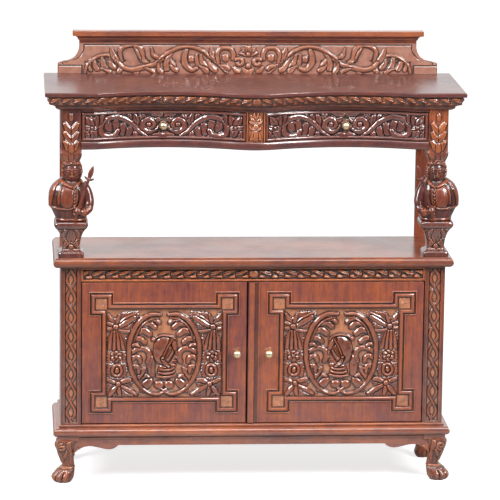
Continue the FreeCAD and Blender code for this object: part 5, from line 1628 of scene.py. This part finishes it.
# the front feet turn their toes 65 degrees outwards, the rear ones stand straight
footHeadings = {"front_left_foot": -65.0, "front_right_foot": 65.0, "rear_left_foot": -90.0,
                "rear_right_foot": 90.0}
for node, heading in footHeadings.items():
    makeFoot(node, pawFoot, math.radians(heading))
print("feet carved")

# brackets: wings that carry the apron's lower line to the front legs, with a rounded lower edge
bracket = {"innerX": 522.0, "width": 17.0, "heel": 104.0, "drop": 15.0, "top": 146.0, "thickness": 19.0,
           "rim": 7.0, "dropPower": 1.4, "rise": 1.6, "rows": 40, "columns": 28}


def makeBracket(side, look):
    faceY, way = nodeBox("front_apron")[0][1], -1.0 if side == "left" else 1.0
    share = np.linspace(0, 1, look["columns"])[None, :]
    up = np.linspace(0, 1, look["rows"])[:, None]
    lower = look["heel"] - look["drop"] * share**look["dropPower"]
    z = lower + (look["top"] - lower) * up
    fromEdge = z - lower
    rounded = np.sqrt(np.clip(1 - (fromEdge / look["rim"] * 2 - 1)**2, 0, None))
    height = look["rise"] * rounded * (fromEdge < look["rim"])
    x = way * (look["innerX"] + look["width"] * share) * np.ones_like(z)
    front = np.stack([x, faceY - height, z], -1)
    makeSheet(f"front_{side}_bracket", front, backLines(front, faceY + look["thickness"]), woodFor("amber"),
              cavityMarks(height, 2))


for side in sides:
    makeBracket(side, bracket)
print("brackets set")

# beads under the base and under the gallery's cap, and the rounded rail under the drawers
runs = {"beadOut": 3.2, "beadIn": 1.5, "around": 20, "columns": 120, "railInset": 38.0, "railSwell": 5.0,
        "railThickness": 30.0, "railRows": 26, "railColumns": 620,
        "railEase": (-24.0, -18.0, -12.0, -6.0, 0.0, 6.0, 12.0, 18.0, 24.0),
        "beads": {  # the node that carries it, half length, height of its middle, half height, finish
            "apron_bead": ("front_apron", 522.0, 140.5, 5.0, "amber"),
            "gallery_bead": ("gallery_board", 514.0, 1297.0, 4.0, "figure"),
        }}


def makeBead(name, look):  # half round: an oval section that stands further out than in
    carrier, halfLength, middle, half, finish = look["beads"][name]
    x = np.linspace(-halfLength, halfLength, look["columns"])[:, None]
    angle = 2 * np.pi * np.arange(look["around"]) / look["around"]
    out = np.where(np.cos(angle) > 0, look["beadOut"], look["beadIn"]) * np.cos(angle)
    rings = np.stack([x * np.ones_like(angle), nodeBox(carrier)[0][1] - out * np.ones_like(x),
                      middle + half * np.sin(angle) * np.ones_like(x)], -1)
    makeTube(name, rings, woodFor(finish), sharp=60.0)


def makeDrawerRail(look):  # the rail's face swells by 1 - w^2 over its height
    low, high = nodeBox("drawer_bottom_rail")
    x = np.linspace(low[0], high[0], look["railColumns"])[None, :]
    w = np.linspace(-1, 1, look["railRows"])[:, None]
    z = (low[2] + high[2]) / 2 + (high[2] - low[2]) / 2 * w
    inset = look["railInset"] + look["railSwell"] * (1 - np.sqrt(np.clip(1 - 0.94 * w**2, 0, None)))
    eased = sum(frontLine(x + step, inset) for step in look["railEase"]) / len(look["railEase"])
    front = np.stack([x * np.ones_like(w), eased, z * np.ones_like(x)], -1)
    back = backLines(front, frontLine(x, look["railInset"] + look["railThickness"]))
    flat = np.zeros(front.shape[:2])
    piece = makeSheet("drawer_rail_run", front, back, woodFor("dark"), {"cavity": flat})
    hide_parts("drawer_bottom_rail")


for name in runs["beads"]:
    makeBead(name, runs)
makeDrawerRail(runs)
print("bead and rail run")

# floor, white surroundings and soft lamps
stageLook = {
    "floorHalf": 16.0, "floorColour": tint(190, 190, 190), "nearGlow": 0.74, "farGlow": 1.0, "glowFrom": 1.0,
    "glowTo": 3.0, "ambient": 0.22, "frontGloss": 0.10, "floorGloss": 0.08, "beam": 60.0,
    "lamps": {  # place, aim, width, height and watts
        "leftPanel": ((-3.6, -2.4, 3.6), (0.0, 0.0, 0.7), 1.5, 1.5, 29.0),
        "rightPanel": ((2.9, -3.2, 3.6), (0.0, 0.0, 0.7), 1.5, 1.5, 30.0),
        "topPanel": ((0.0, -2.3, 4.2), (0.0, 0.0, 0.7), 3.2, 1.0, 10.0),
    },
}


def seenByEye(tree, mirrored):  # 1 for camera and transmission rays, and a share of it for glossy ones
    path = addNode(tree, "ShaderNodeLightPath").outputs
    shown = mathNode(tree, "MAXIMUM", path["Is Camera Ray"], path["Is Transmission Ray"])
    return mathNode(tree, "MAXIMUM", shown, times(tree, path["Is Glossy Ray"], mirrored))


def makeStage(look):
    half = look["floorHalf"]
    data = bpy.data.meshes.new("floor")
    data.from_pydata([(-half, -half, 0), (half, -half, 0), (half, half, 0), (-half, half, 0)], [],
                     [(0, 1, 2, 3)])
    floor = bpy.data.objects.new("floor", data)
    scene.collection.objects.link(floor)
    material, tree = startMaterial("paleFloor")[:2]
    tree.nodes.clear()
    diffuse = addNode(tree, "ShaderNodeBsdfDiffuse", {"Color": look["floorColour"]})
    away = addNode(tree, "ShaderNodeVectorMath", {0: objectPlace(tree)}, operation="LENGTH").outputs["Value"]
    level = spread(tree, away, look["glowFrom"], look["glowTo"], look["nearGlow"], look["farGlow"])
    seen = times(tree, seenByEye(tree, look["floorGloss"]), level)
    glow = addNode(tree, "ShaderNodeEmission", {"Strength": seen})
    both = addNode(tree, "ShaderNodeAddShader", {0: diffuse.outputs[0], 1: glow.outputs[0]})
    addNode(tree, "ShaderNodeOutputMaterial", {"Surface": both.outputs[0]})
    data.materials.append(material)
    world = bpy.data.worlds.new("whiteSurround")
    scene.world = world
    world.use_nodes = True
    tree = world.node_tree
    heading = addNode(tree, "ShaderNodeTexCoord").outputs["Generated"]
    backward = addNode(tree, "ShaderNodeSeparateXYZ", {0: heading}).outputs["Y"]
    mirrored = spread(tree, backward, -0.5, 0.4, look["frontGloss"], 1.0)
    strength = mathNode(tree, "MAXIMUM", seenByEye(tree, mirrored), look["ambient"])
    sky = tree.nodes["Background"]
    sky.inputs["Color"].default_value = (1.0, 1.0, 1.0, 1.0)
    tree.links.new(strength, sky.inputs["Strength"])
    for name, (place, aim, width, height, watts) in look["lamps"].items():
        lamp = bpy.data.lights.new(name, "AREA")
        lamp.shape = "RECTANGLE"
        lamp.size, lamp.size_y, lamp.energy = width, height, watts
        lamp.spread = math.radians(look["beam"])
        holder = bpy.data.objects.new(name, lamp)
        scene.collection.objects.link(holder)
        holder.location = place
        toAim = Vector(aim) - Vector(place)
        holder.rotation_euler = toAim.to_track_quat("-Z", "Y").to_euler()


makeStage(stageLook)
print("stage set")
